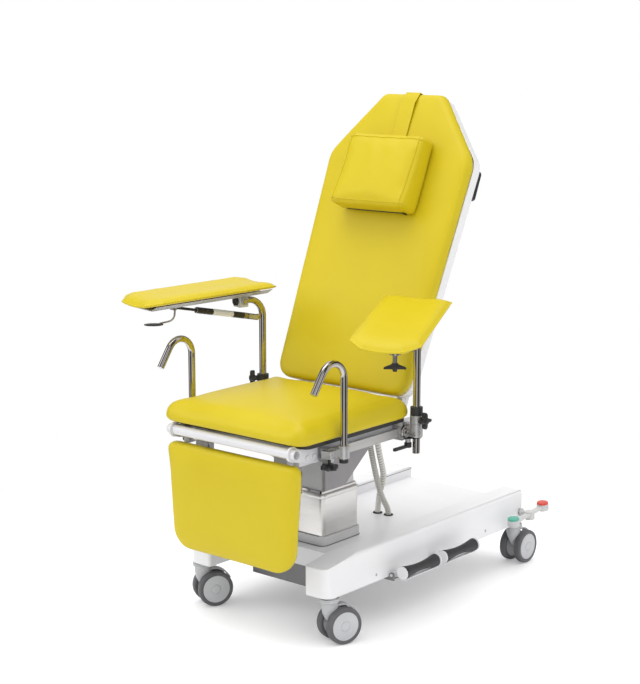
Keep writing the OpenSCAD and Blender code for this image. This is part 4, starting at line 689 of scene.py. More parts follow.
# SEAT CUSHION
# Foam on the board under smooth yellow leathercloth, drawn tight over the rounded front edge and
# stapled underneath, so the sides pull in between the corners and the cloth puckers at each corner.
def leather_pebble():
    """Fine pebbled leathercloth: small cells as Height, slow stretch marks and blotches as Mottle."""
    tree, start, end = finish_group("leather_pebble", 1100.0, 4.0)
    cells = node(tree, "ShaderNodeTexVoronoi", {"Randomness": 1.0}, feature="SMOOTH_F1")
    crease = node(tree, "ShaderNodeTexNoise", {"Detail": 3.0, "Roughness": 0.6})
    slow = node(tree, "ShaderNodeTexNoise", {"Detail": 5.0, "Roughness": 0.5})
    coarse = node(tree, "ShaderNodeMath", operation="MULTIPLY")
    coarse.inputs[1].default_value = 0.3
    both = node(tree, "ShaderNodeMath", operation="MULTIPLY_ADD")
    both.inputs[1].default_value = 0.6
    for made in (cells, crease, slow):
        tree.links.new(start.outputs["Vector"], made.inputs["Vector"])
    tree.links.new(start.outputs["Grain Scale"], cells.inputs["Scale"])
    tree.links.new(start.outputs["Grain Scale"], coarse.inputs[0])
    tree.links.new(coarse.outputs[0], crease.inputs["Scale"])
    tree.links.new(start.outputs["Blotch Scale"], slow.inputs["Scale"])
    tree.links.new(crease.outputs["Fac"], both.inputs[0])
    tree.links.new(cells.outputs["Distance"], both.inputs[2])
    tree.links.new(both.outputs[0], end.inputs["Height"])
    tree.links.new(slow.outputs["Fac"], end.inputs["Mottle"])
    return tree


leather = surface("yellow_leathercloth", (0.615, 0.490, 0.010), (0.580, 0.455, 0.008), (0.38, 0.48),
                  specular=0.30, skin=leather_pebble(), scales=(1100.0, 5.0), bump=0.10, depth=0.0003)
VOXEL = 0.006
# The cloth runs for so many frames, TAUT is how often its moves are evened out, and the sides keep
# only a share of their moves inwards and outwards. Below STAPLED the cover doesn't move.
FRAMES, TAUT = 20, 16
PULL_IN, PUSH_OUT = 0.2, 0.4
STAPLED, STAPLED_EDGE = 0.0015, 0.0012
CROWN_POWER = 0.8


def cloth_swell(made, cap, pressure):
    """Blows the cover up like a filled one with Blender's cloth, holding the stapled underside, keeps
    each point within cap of its start, and evens the moves out, as a cover that is stretched taut does."""
    start = [v.co.copy() for v in made.data.vertices]
    pinned = [p.z < STAPLED for p in start]
    held = made.vertex_groups.new(name="held")
    held.add([i for i, fixed in enumerate(pinned) if fixed], 1.0, "REPLACE")
    cloth = made.modifiers.new("cloth", "CLOTH")
    cloth.settings.quality = 4
    cloth.settings.mass = 0.3
    cloth.settings.tension_stiffness = cloth.settings.compression_stiffness = 25
    cloth.settings.shear_stiffness = 12
    cloth.settings.bending_stiffness = 2.0
    cloth.settings.use_pressure = True
    cloth.settings.uniform_pressure_force = pressure
    cloth.settings.vertex_group_mass = "held"
    cloth.settings.effector_weights.gravity = 0
    cloth.collision_settings.use_self_collision = False
    for k in range(1, FRAMES + 1):
        bpy.context.scene.frame_set(k)
    evaluated = made.evaluated_get(bpy.context.evaluated_depsgraph_get())
    blown = [v.co.copy() for v in evaluated.data.vertices]
    made.modifiers.remove(cloth)
    made.vertex_groups.remove(held)
    bpy.context.scene.frame_set(1)
    centre = sum(start, Vector()) / len(start)
    moves, near = [], [[] for _ in start]
    for a, b in zip(start, blown):
        move = b - a
        move.xy *= PULL_IN if move.xy.dot((a - centre).xy) < 0 else PUSH_OUT
        moves.append(move * (cap / move.length) if move.length > cap else move)
    for edge in made.data.edges:
        a, b = edge.vertices
        near[a].append(b)
        near[b].append(a)
    for _ in range(TAUT):
        moves = [Vector() if pinned[i] else sum((moves[k] for k in round_it), moves[i]) / (len(round_it) + 1)
                 for i, round_it in enumerate(near)]
    for v, a, move in zip(made.data.vertices, start, moves):
        v.co = a + move


def upholstered(name, corners, radii, thick, top_round, foot_round, crown, draw, place, body, stands_for,
                cap, shape, pressure=4.0, voxel=VOXEL, settle=3):
    """A cushion on an outline of corners in millimetres: cut out, rounded, given its crown and drawn-in
    sides, blown up as cloth while its underside is held, and set in its place."""
    bm = bmesh.new()
    verts = [bm.verts.new((x / 1000, y / 1000, 0)) for x, y in corners]
    bm.faces.new(verts)
    for k, v in enumerate(verts):
        here = Vector(corners[k])
        a, b = Vector(corners[k - 1]) - here, Vector(corners[(k + 1) % len(corners)]) - here
        reach = radii[k] / math.tan(a.angle(b) / 2) / 1000
        bmesh.ops.bevel(bm, geom=[v], offset=reach, offset_type="OFFSET", segments=8, profile=0.5,
                        affect="VERTICES", material=-1)
    grown = bmesh.ops.extrude_face_region(bm, geom=list(bm.faces))
    upper = [g for g in grown["geom"] if isinstance(g, bmesh.types.BMVert)]
    bmesh.ops.translate(bm, vec=(0, 0, thick / 1000), verts=upper)
    bmesh.ops.recalc_face_normals(bm, faces=bm.faces)
    for level, offset in ((thick / 1000, top_round), (0.0, foot_round)):
        rim = [e for e in bm.edges if all(abs(v.co.z - level) < 1e-6 for v in e.verts)]
        bmesh.ops.bevel(bm, geom=rim, offset=offset / 1000, offset_type="OFFSET", segments=6, profile=0.5,
                        affect="EDGES", material=-1)
    made = piece(name, bm, leather, None, angle=180)
    grid = made.modifiers.new("grid", "REMESH")
    grid.mode = "VOXEL"
    grid.voxel_size = voxel
    fine = bpy.data.meshes.new_from_object(made.evaluated_get(bpy.context.evaluated_depsgraph_get()))
    made.modifiers.remove(grid)
    rough, made.data = made.data, fine
    bpy.data.meshes.remove(rough)
    xs, ys = [c[0] for c in corners], [c[1] for c in corners]
    mx, my = (max(xs) + min(xs)) / 2000, (max(ys) + min(ys)) / 2000
    wide, long, high = (max(xs) - min(xs)) / 2000, (max(ys) - min(ys)) / 2000, thick / 1000
    for v in made.data.vertices:
        u, w = (v.co.x - mx) / wide, (v.co.y - my) / long
        lift = crown / 1000 * max(0.0, 1 - u * u) ** CROWN_POWER * max(0.0, 1 - w * w) ** CROWN_POWER
        v.co.z += lift * min(1.0, max(0.0, v.co.z / high))
        v.co.x -= draw / 1000 * math.copysign(max(0.0, 1 - w * w) * abs(u) ** 3, u)
        v.co.y -= draw / 1000 * math.copysign(max(0.0, 1 - u * u) * abs(w) ** 3, w)
    cloth_swell(made, cap, pressure)
    bm = bmesh.new()
    bm.from_mesh(made.data)
    for _ in range(settle):
        bmesh.ops.smooth_vert(bm, verts=[v for v in bm.verts if v.co.z > STAPLED_EDGE], factor=0.5,
                              use_axis_x=True, use_axis_y=True, use_axis_z=True)
    for v in bm.verts:
        v.co = shape(v.co)
    bmesh.ops.transform(bm, matrix=place, verts=bm.verts)
    for face in bm.faces:
        face.smooth = True
    bm.to_mesh(made.data)
    bm.free()
    made.data.materials.clear()
    made.data.materials.append(leather)
    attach(made, body)
    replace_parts(made, stands_for)
    return made


TUCKS_ROUND = 26


def puckered(corners, reach, depth, level):
    """Small tucks that fan round each corner near the underside, where the cloth is folded and stapled."""
    spots = [Vector((x / 1000, y / 1000)) for x, y in corners]
    centre = sum(spots, Vector((0, 0))) / len(spots)

    def shape(p):
        spot = min(spots, key=lambda c: (c - p.xy).length)
        near = max(0.0, 1 - (p.xy - spot).length / reach)
        low = max(0.0, 1 - p.z / level)
        away = p.xy - spot.lerp(centre, 0.15)
        side = math.atan2(away.y, away.x)
        tuck = depth * near * low * (0.5 + 0.5 * math.cos(side * TUCKS_ROUND))
        inward = (centre - p.xy).normalized()
        return Vector((p.x + inward.x * tuck, p.y + inward.y * tuck, p.z))
    return shape


SEAT_CORNERS = [(-253, -235.5), (253, -235.5), (253, 235.5), (-253, 235.5)]
SEAT_PLACE = Matrix.Translation(at(0, 101.5, 553.3))
upholstered("seat_pad", SEAT_CORNERS, [44, 44, 44, 44], 48, 34, 8, 13, 2, SEAT_PLACE, "seat", "seat_cushion",
            cap=0.006, shape=puckered(SEAT_CORNERS, 0.085, 0.0035, 0.030))

# BACKREST
# A long six-sided cushion with rounded shoulders in a shallow white tray, on two square tubes that
# turn about a hinge at the back of the seat, with two black push bars bolted behind the shoulders.
def turned_by(degrees, axis):
    """The turn by so many degrees about an axis."""
    return Matrix.Rotation(math.radians(degrees), 4, axis)


BACK_PLACE = Matrix.Translation(at(0, 337.7, 599.5)) @ turned_by(66.7, "X")
BACK_CORNERS = [(-231, -3), (231, -3), (253, 678), (104, 868), (-104, 868), (-253, 678)]
BACK_SINK = 0.004
handle_black = surface("handle_black", (0.030, 0.030, 0.032), (0.020, 0.020, 0.022), (0.38, 0.5), coat=0.1,
                       scales=(900.0, 12.0), bump=0.04)
upholstered("back_pad", BACK_CORNERS, [48, 48, 66, 24, 24, 66], 36, 14, 5, 8, 1,
            BACK_PLACE @ Matrix.Translation((0, 0, -BACK_SINK)), "back", "back_cushion", cap=0.0025,
            shape=puckered(BACK_CORNERS, 0.080, 0.0014, 0.026), voxel=0.0068)
softened("back_shell", "back_tray", 0.0020, cover_white, "back", segments=3)
softened("back_frame", "back_tubes", 0.0016, frame_light, "back", segments=3)
softened("push_handle", "push_bars", 0.0006, handle_black, "back")

# HEAD PILLOW
# A boxy pillow with a welted face, a double row of stitches down one side and a zip under its foot.
# A stitched strap of the same cloth holds it, over the top of the backrest and down behind it.
PILLOW_CORNERS = [(-130, 501), (130, 501), (130, 717), (-130, 717)]
PILLOW_RADII = [13, 13, 13, 13]
PILLOW_THICK, PILLOW_LIFT = 60, 0.0436
PILLOW_PLACE = BACK_PLACE @ Matrix.Translation((0, 0, PILLOW_LIFT))
FOOT_RISE, RISE_FALL, FOOT_Y, PILLOW_LONG = 1.22, 0.32, 0.503, 0.212
SLACK, SLACK_FROM, DIMPLES, DIMPLES_UP = 0.0016, 0.02, 26, 30
STITCH_PITCH = 0.0036
WELT_R, WELT_LIFT, WELT_INSET = 0.0015, 0.35, 0.8
stitch_thread = surface("stitch_thread", (0.84, 0.70, 0.10), (0.74, 0.60, 0.08), (0.6, 0.75),
                        scales=(3000.0, 200.0), bump=0.3, depth=0.0001)
zip_black = surface("zip_black", (0.020, 0.020, 0.022), (0.012, 0.012, 0.014), (0.45, 0.6),
                    scales=(1500.0, 30.0), bump=0.1)


def boxy(p):
    """The pillow is a wedge: thicker at its foot than at its head, with slack, dimpled sides."""
    rise = FOOT_RISE - RISE_FALL * (p.y - FOOT_Y) / PILLOW_LONG
    slack = SLACK * noise.noise(Vector((p.x * DIMPLES, p.y * DIMPLES, p.z * DIMPLES_UP)))
    return Vector((p.x, p.y, p.z * rise + slack * min(1.0, p.z / SLACK_FROM)))


pillow = upholstered("pillow_pad", PILLOW_CORNERS, PILLOW_RADII, PILLOW_THICK, 7, 8, 9, 0, PILLOW_PLACE,
                     "pillow", "head_pillow", cap=0.004, pressure=6.0, shape=boxy, voxel=0.0040,
                     settle=2)


def laid_on(made, points, lift):
    """Moves points given in the row frame on to a piece's surface, and lifts them off it a little."""
    laid = []
    for p in points:
        _, spot, normal, _ = made.closest_point_on_mesh(p)
        laid.append(spot + normal * lift)
    return laid


def ring_of(corners, radii, inset, z, count=10):
    """The outline of a cushion, drawn in by inset, as points in metres at a height above its foot."""
    cx, cy = sum(c[0] for c in corners) / len(corners), sum(c[1] for c in corners) / len(corners)
    line = []
    for k, corner in enumerate(corners):
        here = Vector(corner)
        a = (Vector(corners[k - 1]) - here).normalized()
        b = (Vector(corners[(k + 1) % len(corners)]) - here).normalized()
        half = a.angle(b) / 2
        mid = here + (a + b).normalized() * radii[k] / math.sin(half)
        start, end = here + a * radii[k] / math.tan(half) - mid, here + b * radii[k] / math.tan(half) - mid
        for j in range(count + 1):
            out = mid + start.slerp(end, j / count)
            drawn = (out.x - math.copysign(inset, out.x - cx), out.y - math.copysign(inset, out.y - cy), z)
            line.append(Vector(drawn) / 1000)
    return line


def stitches(name, made, points, size, body):
    """A row of short thread stitches along a line laid on a cushion."""
    line = laid_on(made, smooth_line(points, STITCH_PITCH / 4), 0.0001)
    bm = bmesh.new()
    for k in range(0, len(line) - 3, 4):
        a, b = line[k], line[k + 3]
        if (b - a).length < STITCH_PITCH * 0.2:
            continue
        bit = bmesh.ops.create_cube(bm, size=1.0)["verts"]
        bmesh.ops.scale(bm, vec=(size, size * 0.7, (b - a).length * 0.82), verts=bit)
        bmesh.ops.transform(bm, matrix=along(b - a, (a + b) / 2), verts=bit)
    bmesh.ops.bevel(bm, geom=list(bm.edges), offset=size * 0.25, offset_type="OFFSET", segments=1,
                    profile=0.5, affect="EDGES", material=-1)
    return piece(name, bm, stitch_thread, body, angle=60)


def rounded_block(name, size, rounding, segments, place, material, body):
    """A small block with all its edges rounded."""
    bm = bmesh.new()
    bmesh.ops.create_cube(bm, size=1.0)
    bmesh.ops.scale(bm, vec=size, verts=bm.verts)
    bmesh.ops.bevel(bm, geom=list(bm.edges), offset=rounding, offset_type="OFFSET", segments=segments,
                    profile=0.5, affect="EDGES", material=-1)
    bmesh.ops.transform(bm, matrix=place, verts=bm.verts)
    return piece(name, bm, material, body)


def local(place, points):
    """Points in a piece's own millimetres, in the row frame."""
    return [place @ (Vector(p) / 1000) for p in points]


edge = [PILLOW_PLACE @ boxy(p) for p in ring_of(PILLOW_CORNERS, PILLOW_RADII, WELT_INSET, PILLOW_THICK - 1)]
seam = laid_on(pillow, smooth_line(edge + [edge[0]], 0.004)[:-1], WELT_R * WELT_LIFT)
piece("pillow_welt", swept(seam, 8, lambda i, j: (WELT_R, 0.0), closed=True), leather, "pillow", angle=180)
for k, x in enumerate((115, 121)):
    row = [PILLOW_PLACE @ boxy(Vector((x, y, 66)) / 1000) for y in range(512, 710, 18)]
    stitches(f"pillow_stitches_{k}", pillow, row, 0.0007, "pillow")
zip_route = local(PILLOW_PLACE, [(x, 498, 20) for x in range(-100, 101, 20)])
zip_line = laid_on(pillow, smooth_line(zip_route, 0.004), 0.0002)
piece("pillow_zip", swept(zip_line, 6, lambda i, j: (0.0022, 0.0)), zip_black, "pillow", angle=180)
rounded_block("pillow_zip_pull", (0.010, 0.0025, 0.016), 0.0008, 2,
              PILLOW_PLACE @ Matrix.Translation((0.104, 0.4985, 0.018)), zip_black, "pillow")
strap = softened("pillow_strap", "pillow_strap_cloth", 0.0005, leather, "back")
for side, mark, _ in SIDES:
    row = local(BACK_PLACE, [(side * 20, y, 44) for y in range(715, 828, 12)])
    stitches(f"strap_stitches_{mark}", strap, row, 0.0006, "back")

# LEG REST
# A trapezoid cushion on a black board, on two square tubes that hang from a round tube across the
# front of the seat. The round tube is open at both ends.
LEG_CORNERS = [(-210, -292), (210, -292), (232, 2), (-232, 2)]
LEG_PLACE = Matrix.Translation(at(0, -99, 496.4)) @ turned_by(90, "X")
upholstered("leg_pad", LEG_CORNERS, [66, 66, 22, 22], 31, 8, 5, 4, 1, LEG_PLACE, "leg_rest", "leg_cushion",
            cap=0.003, shape=puckered(LEG_CORNERS, 0.070, 0.0012, 0.020), voxel=0.0055)
softened("leg_board", "leg_plywood", 0.0010, board_black, "leg_rest")
softened("leg_frame", "leg_tubes", 0.0014, frame_light, "leg_rest", segments=3)

# RAIL CLAMPS
# Satin cast clamps on the rails, with a sleeve for each arm post, a polished disc with a domed cap
# and, on the right, a black clamping lever underneath.
CLAMP_Y = {"left": 303, "right": 322}
CLAMP_DISC = [(0, 0), (18.9, 0), (19.1, 0.6), (19.1, 5.2), (18.2, 6.4), (0, 6.4)]
CLAMP_CAP = [(0, 0), (12.0, 0), (12.0, 2.4), (10.6, 3.6), (6.4, 4.2), (6.0, 6.2), (4.8, 7.2), (0, 7.4)]
DISC_X, CAP_X, DISC_Z, DISC_FORWARD = 240.4, 246.6, 515.5, 12
cast_silver = surface("cast_silver", (0.62, 0.62, 0.62), (0.52, 0.52, 0.52), (0.24, 0.36), metallic=0.7,
                      scales=(900.0, 30.0), bump=0.12, depth=0.0003)
knob_black = surface("knob_black", (0.026, 0.026, 0.028), (0.016, 0.016, 0.018), (0.40, 0.52), coat=0.1,
                     scales=(1100.0, 20.0), bump=0.06)
for side, mark, tag in SIDES:
    clamp, y = f"arm_clamp_{mark}", CLAMP_Y[tag] - DISC_FORWARD
    softened(f"arm_clamp_{tag}", f"clamp_body_{tag}", 0.0010, cast_silver, clamp)
    turned_piece(f"clamp_disc_{tag}", CLAMP_DISC, 40, along((side, 0, 0), at(side * DISC_X, y, DISC_Z)),
                 chrome, clamp, angle=30)
    turned_piece(f"clamp_cap_{tag}", CLAMP_CAP, 40, along((side, 0, 0), at(side * CAP_X, y, DISC_Z)),
                 chrome, clamp, angle=35)
softened("clamp_lever_right", "lever_right", 0.0016, knob_black, "clamp_lever_r", segments=3)


def add_to(bm, other):
    """Adds a second shape to a first one."""
    part = bpy.data.meshes.new("part")
    other.to_mesh(part)
    other.free()
    bm.from_mesh(part)
    bpy.data.meshes.remove(part)


def star_knob(name, node_name, place, body, tip, valley, lobes, low, high, pin, foot, point):
    """A moulded star knob: lobes with hollows between them, a domed hub, and its threaded pin. Its rim
    runs from low to high, its pin starts at foot, and point sets how narrow the lobes are."""
    bm = bmesh.new()
    count = lobes * 14
    rings = []
    for z, share in ((low, 0.94), (low + 1.2, 1.0), (high - 2.4, 1.0), (high - 0.6, 0.93), (high, 0.80)):
        ring = []
        for k in range(count):
            angle = 2 * math.pi * k / count
            reach = valley + (tip - valley) * (0.5 + 0.5 * math.cos(lobes * angle)) ** point
            reach = (reach * share if share < 1 else reach) / 1000
            ring.append(bm.verts.new((reach * math.cos(angle), reach * math.sin(angle), z / 1000)))
        rings.append(ring)
    for a, b in zip(rings, rings[1:]):
        for k in range(count):
            bm.faces.new((a[k], a[(k + 1) % count], b[(k + 1) % count], b[k]))
    bm.faces.new(list(reversed(rings[0])))
    bm.faces.new(rings[-1])
    neck, dome = valley * 0.85, valley * 0.6
    add_to(bm, turned([(0, foot), (pin, foot), (pin, low - 3), (neck, low - 2.2), (neck, high + 1.6),
                       (dome, high + 2.6), (0, high + 2.8)], 28))
    bmesh.ops.transform(bm, matrix=place, verts=bm.verts)
    made = piece(name, bm, knob_black, body, angle=38)
    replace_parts(made, node_name)


# LEFT ARM
# A chromed post, bent forward at the top into a grey trunnion, carries a folded steel tray that a
# gas spring holds at its tilt. A paddle under the front of the tray frees the spring.
POST_X, POST_TOP_Z = 270, 0.828
LEFT_SWING, LEFT_TILT = -12.4, 2
ARM_PLACE = Matrix.Translation(at(-POST_X, CLAMP_Y["left"], 0)) @ turned_by(LEFT_SWING, "Z")
TRAY_PLACE = ARM_PLACE @ Matrix.Translation((0, -0.075, POST_TOP_Z)) @ turned_by(LEFT_TILT, "X")
SPRING_PLACE = (ARM_PLACE @ Matrix.Translation((0, -0.025, 0.776))
                @ Matrix.Rotation(math.atan2(278, 56), 4, "X"))
ARM_STAR = {"tip": 23, "valley": 9.5, "lobes": 4, "low": 24, "high": 37.5, "pin": 3.4, "foot": 13.2,
            "point": 1.8}
POST_CAP = [(0, -0.6), (11.6, -0.6), (12.3, 0.4), (12.3, 8.2), (0, 8.2)]
tray_grey = surface("tray_grey", (0.36, 0.36, 0.37), (0.30, 0.30, 0.31), (0.36, 0.5), scales=(800.0, 10.0),
                    bump=0.05)
spring_white = surface("spring_white", (0.74, 0.74, 0.73), (0.66, 0.66, 0.65), (0.35, 0.5))
softened("arm_post_left", "post_left", 0.0008, chrome, "arm_post_l")
softened("arm_collar_left", "collar_left", 0.0010, knob_black, "arm_collar_l", segments=3)
softened("arm_tray_left", "tray_left", 0.0006, tray_grey, "arm_tray_l")
turned_piece("post_cap_left", POST_CAP, 36,
             ARM_PLACE @ Matrix.Translation((0, -0.0965, POST_TOP_Z)) @ turned_by(-90, "X"),
             knob_black, "arm_post_l", angle=30)
rounded_block("trunnion_left", (0.0326, 0.0306, 0.0306), 0.0022, 3,
              ARM_PLACE @ Matrix.Translation((0, -0.075, 0.826)), skirt_grey, "arm_post_l")
star_knob("knob_left", "arm_knob_left",
          Matrix.Translation(at(-POST_X, CLAMP_Y["left"], 595)) @ turned_by(-129, "Z") @ turned_by(90, "Y"),
          "arm_knob_l", **ARM_STAR)
# An arm cushion's half width, its front and rear ends, and what its front and rear corners lose.
PAD_HALF, PAD_FRONT, PAD_REAR, FRONT_CUT, REAR_CUT = 96.5, -219.5, 219.5, 39, 27
# How far each ring of the cushion is drawn in from its outline, and its height above the foot.
PAD_RINGS = ((80, 0), (40, 0), (12, 0), (4, 0.7), (1.0, 2.4), (0, 4.2), (0.2, 5.8), (1.4, 6.6), (2.6, 6.4),
             (4.2, 7.4), (7, 10.6), (12, 14.6), (19, 18.2), (28, 20.8), (40, 22.8), (56, 24.2), (74, 25),
             (88, 25))
TURN_UP, TURN_UP_AT = 13, 95
PAD_CORNER_R, PAD_STEP = 4, 7
# The leather ripples in broad and in small waves: height in millimetres and waves per millimetre.
BROAD_WAVE, BROAD_SCALE, SMALL_WAVE, SMALL_SCALE = 1.1, 0.035, 0.5, 0.12


def arm_pad(name, place, body, stands_for):
    """A thin octagonal arm cushion: a flat sewn edge, a filled middle, and sides turned up along the tray.
    Rings of points run from under its foot, round its edge, to its crown."""
    h, a, b = PAD_HALF, FRONT_CUT, REAR_CUT
    corners = [(a - h, PAD_FRONT), (h - a, PAD_FRONT), (h, PAD_FRONT + a), (h, PAD_REAR - b),
               (h - b, PAD_REAR), (b - h, PAD_REAR), (-h, PAD_REAR - b), (-h, PAD_FRONT + a)]
    rough = [p.xy * 1000 for p in ring_of(corners, [PAD_CORNER_R] * len(corners), 0, 0, count=3)]
    line = []
    for p, q in zip(rough, rough[1:] + rough[:1]):
        steps = max(1, round((q - p).length / PAD_STEP))
        line += [p.lerp(q, k / steps) for k in range(steps)]
    bm = bmesh.new()
    rings = []
    for inset, z in PAD_RINGS:
        ring = []
        for p in line:
            x, y = p.x * (1 - inset / h), p.y * (1 - inset / PAD_REAR)
            broad = BROAD_WAVE * noise.noise(Vector((p.x * BROAD_SCALE, p.y * BROAD_SCALE, 3.0)))
            wave = broad + SMALL_WAVE * noise.noise(Vector((p.x * SMALL_SCALE, p.y * SMALL_SCALE, 7.0)))
            rumple = wave * (0.5 if inset < 30 else 0.25) if z > 2 else 0
            ring.append(bm.verts.new(Vector((x, y, z + TURN_UP * (x / TURN_UP_AT) ** 2 + rumple)) / 1000))
        rings.append(ring)
    n = len(line)
    for low, high in zip(rings, rings[1:]):
        for k in range(n):
            bm.faces.new((low[k], low[(k + 1) % n], high[(k + 1) % n], high[k]))
    bm.faces.new(list(reversed(rings[0])))
    bm.faces.new(rings[-1])
    bmesh.ops.transform(bm, matrix=place, verts=bm.verts)
    bmesh.ops.recalc_face_normals(bm, faces=bm.faces)
    made = piece(name, bm, leather, body, angle=180)
    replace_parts(made, stands_for)


arm_pad("pad_left", TRAY_PLACE @ Matrix.Translation((0, -0.140, 0.02913)), "arm_tray_l", "arm_cushion_left")
softened("gas_spring_tube", "spring_tube", 0.0006, knob_black, "gas_tube")
softened("gas_spring_rod", "spring_rod", 0.0005, knob_black, "gas_rod")
ROD_R, RING_EDGE = 4.4, 0.4
for name, low, high, wide, material in (("spring_ferrule", 30, 44, 9.3, screw_steel),
                                        ("spring_band", 82, 152, 9.12, spring_white),
                                        ("spring_collar", 199, 207, 8.6, screw_steel)):
    turned_piece(name, [(ROD_R, low), (wide - RING_EDGE, low), (wide, low + 0.5), (wide, high - 0.5),
                        (wide - RING_EDGE, high), (ROD_R, high), (ROD_R, low)], 32,
                 SPRING_PLACE, material, "gas_tube", angle=30)
for side, mark, _ in SIDES:
    rounded_block(f"spring_cheek_{mark}", (0.0054, 0.0164, 0.0385), 0.0024, 3,
                  SPRING_PLACE @ Matrix.Translation((side * 0.0057, 0, 0.0115)), cast_silver, "gas_tube")
RELEASE_ROUTE = [(11, -227.7, 12), (11, -229, 2), (10.5, -231, -10), (9, -236, -19), (5, -244, -24),
                 (1, -256, -26), (0, -272, -27)]
RELEASE_EYE = [(3.1, -2.2), (6.6, -2.2), (6.6, 2.2), (3.1, 2.2), (3.1, -2.2)]
PADDLE = [(0, -2.8), (12, -2.8), (15.4, -1.2), (15.8, 0), (15.4, 1.4), (12, 2.8), (0, 3.4)]
rod = swept(smooth_line(local(TRAY_PLACE, RELEASE_ROUTE), 0.002), 12, lambda i, j: (0.0027, 0.0))
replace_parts(piece("release_rod", rod, chrome, "release", angle=180), "release_lever")
turned_piece("release_eye", RELEASE_EYE, 28,
             TRAY_PLACE @ Matrix.Translation((0.011, -0.2277, 0.01195)) @ turned_by(90, "Y"),
             chrome, "release", angle=35)
bm = turned(PADDLE, 48)
bmesh.ops.scale(bm, vec=(1.0, 1.9, 1.0), verts=bm.verts)
bmesh.ops.transform(bm, matrix=TRAY_PLACE @ Matrix.Translation((0, -0.292, -0.0275)) @ turned_by(-6, "X"),
                    verts=bm.verts)
piece("release_paddle", bm, handle_black, "release")

# RIGHT ARM
# A chromed post with a tall head, in which the stud of a black tray turns under a wing knob. Its
# cushion is the same as the left one.
RIGHT_SWING, RIGHT_TILT, RIGHT_LEAN = 24, 8, 2.3
RIGHT_PLACE = (Matrix.Translation(at(317.3, 190.5, 839.8)) @ turned_by(RIGHT_SWING, "Z")
               @ turned_by(RIGHT_TILT, "X") @ turned_by(RIGHT_LEAN, "Y"))
STUD_X, STUD_Y, WING_Z = 275, 218, 706
COLLAR_RING = [(13.6, 540.4), (17.3, 540.4), (17.3, 560.6), (17.8, 561), (17.8, 563), (13.6, 563),
               (13.6, 540.4)]
WING = [(-30, 0), (30, 0), (30, 5), (10, 13), (6, 16), (-6, 16), (-10, 13), (-30, 5)]
WING_HUB = [(6.1, 0), (8.4, 0), (9, 1), (9, 15), (8, 17), (6.1, 17), (6.1, 0)]
WING_THICK = 0.009
STUD_SLEEVE = [(5.9, 723), (6.25, 723), (6.25, 744), (5.9, 744), (5.9, 723)]
softened("arm_post_right", "post_right", 0.0008, chrome, "arm_post_r")
softened("arm_collar_right", "collar_right", 0.0010, knob_black, "arm_collar_r", segments=3)
softened("arm_tray_right", "tray_right", 0.0006, board_black, "arm_tray_r")
arm_pad("pad_right", RIGHT_PLACE @ Matrix.Translation((0, 0, -0.0137)), "arm_tray_r", "arm_cushion_right")
star_knob("knob_right", "arm_knob_right",
          Matrix.Translation(at(POST_X, CLAMP_Y["right"], 551)) @ turned_by(-5, "Z") @ turned_by(90, "Y"),
          "arm_knob_r", **ARM_STAR)
turned_piece("collar_ring_right", COLLAR_RING, 40, Matrix.Translation(at(POST_X, CLAMP_Y["right"], 0)),
             cast_silver, "arm_collar_r", angle=30)
bm = bmesh.new()
face = bm.faces.new([bm.verts.new((x / 1000, -WING_THICK / 2, z / 1000)) for x, z in WING])
grown = bmesh.ops.extrude_face_region(bm, geom=[face])
back_side = [g for g in grown["geom"] if isinstance(g, bmesh.types.BMVert)]
bmesh.ops.translate(bm, vec=(0, WING_THICK, 0), verts=back_side)
bmesh.ops.recalc_face_normals(bm, faces=bm.faces)
bmesh.ops.bevel(bm, geom=list(bm.edges), offset=0.0018, offset_type="OFFSET", segments=3, profile=0.5,
                affect="EDGES", material=-1)
add_to(bm, turned(WING_HUB, 32))
bmesh.ops.transform(bm, matrix=Matrix.Translation(at(STUD_X, STUD_Y, WING_Z)) @ turned_by(38, "Z"),
                    verts=bm.verts)
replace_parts(piece("wing_knob_moulded", bm, knob_black, "wing"), "wing_knob")
turned_piece("stud_sleeve", STUD_SLEEVE, 28, Matrix.Translation(at(STUD_X, STUD_Y, 0)), screw_steel,
             "arm_tray_r", angle=30)

# GRAB HOOKS
# Chromed tubes bent over at the top, each with a rubber ring at its foot, in a small rail clamp that
# a black star knob tightens from below.
HOOK_X, HOOK_KNOB_X, HOOK_KNOB_FORWARD, HOOK_KNOB_Z = 268, 245, 30, 0.489
HOOK_Y = {"left": 10, "right": 15}
HOOK_STAR = {"tip": 24, "valley": 13, "lobes": 6, "low": 0.8, "high": 12.6, "pin": 3.9, "foot": -18,
             "point": 0.75}
HOOK_RING = [(9.55, 492.6), (11.2, 492.6), (11.9, 493.4), (11.9, 500.1), (11.2, 500.9), (9.55, 500.9),
             (9.55, 492.6)]
for side, mark, tag in SIDES:
    y, clamp = HOOK_Y[tag], f"hook_clamp_{mark}"
    softened(f"hook_clamp_{tag}", f"hook_clamp_body_{tag}", 0.0010, cast_silver, clamp)
    softened(f"grab_hook_{tag}", f"hook_tube_{tag}", 0.0005, chrome, f"hook_{mark}")
    star_knob(f"hook_star_{tag}", f"hook_knob_{tag}",
              Matrix.Translation(at(side * HOOK_KNOB_X, y - HOOK_KNOB_FORWARD, 0))
              @ Matrix.Translation((0, 0, HOOK_KNOB_Z)) @ turned_by(180, "X"),
              f"hook_knob_{mark}", **HOOK_STAR)
    turned_piece(f"hook_ring_{tag}", HOOK_RING, 36, Matrix.Translation(at(side * HOOK_X, y, 0)), rubber,
                 f"hook_{mark}", angle=35)

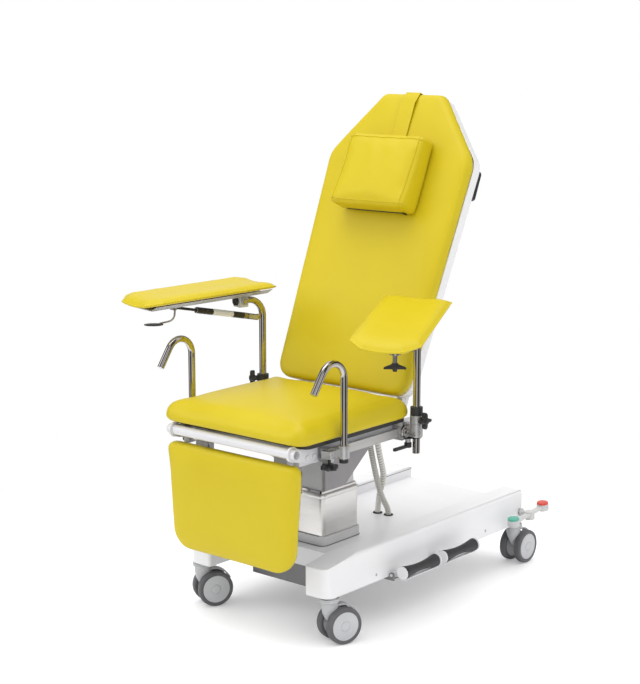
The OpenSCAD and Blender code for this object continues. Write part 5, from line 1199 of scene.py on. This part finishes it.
# FOOT CONTROLS
# Two steel pedal arms on the right of the chassis with charcoal hourglass rollers between white end
# discs, and the rocking bar of the central lock with a green pad and a red one.
PEDAL_X, PEDAL_Z, PEDAL_LONG, ROLLER_END = 305, 150, 158, 8.3
ROLLER_R, ROLLER_WAIST, ROLLER_BORE = 17.7, 6.5, 3.6
END_DISC = [(0, 0), (16.6, 0), (18.3, 1.2), (18.3, 3.4), (16.6, 4.6), (0, 4.6)]
roller_black = surface("roller_black", (0.048, 0.048, 0.052), (0.034, 0.034, 0.037), (0.5, 0.65),
                       scales=(1300.0, 30.0), bump=0.15)
for name, y0 in (("front", 218), ("rear", 400)):
    body = f"pedal_{name}"
    softened(f"pedal_{name}", f"pedal_arm_{name}", 0.0006, frame_light, body)
    span = PEDAL_LONG - 2 * ROLLER_END
    waist = [(ROLLER_R - ROLLER_WAIST * math.sin(math.pi * k / 40), span * k / 40) for k in range(41)]
    roller = [(ROLLER_BORE, 0)] + waist + [(ROLLER_BORE, span), (ROLLER_BORE, 0)]
    turned_piece(f"pedal_roller_{name}", roller, 36, along((0, 1, 0), at(PEDAL_X, y0 + ROLLER_END, PEDAL_Z)),
                 roller_black, body, angle=35)
    for k, y in enumerate((y0 - 0.3, y0 + PEDAL_LONG - 4.3)):
        turned_piece(f"pedal_disc_{name}_{k}", END_DISC, 40, along((0, 1, 0), at(PEDAL_X, y, PEDAL_Z)),
                     cover_white, body, angle=35)
pad_green = surface("pad_green", (0.10, 0.46, 0.35), (0.08, 0.40, 0.30), (0.28, 0.4), coat=0.15)
pad_red = surface("pad_red", (0.72, 0.07, 0.045), (0.62, 0.055, 0.038), (0.28, 0.4), coat=0.15)
LOCK_X, LOCK_AXIS_Y, LOCK_AXIS_Z = 0.285, 873, 162
LOCK_PAD = [(0, 171.2), (16.9, 171.2), (17.2, 171.6), (17.2, 175.8), (15.8, 177.4), (8, 178.3), (0, 178.6)]
LOCK_RING = [(0, 151.6), (16, 151.6), (18.3, 153.6), (18.3, 170.2), (17.6, 171.3), (0, 171.3)]
LOCK_TILT = (Matrix.Translation(at(0, LOCK_AXIS_Y, LOCK_AXIS_Z)) @ turned_by(5, "X")
             @ Matrix.Translation((0, 0, -LOCK_AXIS_Z / 1000)))
softened("lock_rocker", "lock_bar", 0.0014, stage_light, "lock", segments=3)
for name, y, material in (("green", 786, pad_green), ("red", 944, pad_red)):
    place = LOCK_TILT @ Matrix.Translation((LOCK_X, (y - LOCK_AXIS_Y) / 1000, 0))
    turned_piece(f"lock_pad_{name}", LOCK_PAD, 44, place, material, "lock", angle=35)
    turned_piece(f"lock_ring_{name}", LOCK_RING, 44, place, skirt_grey, "lock", angle=35)
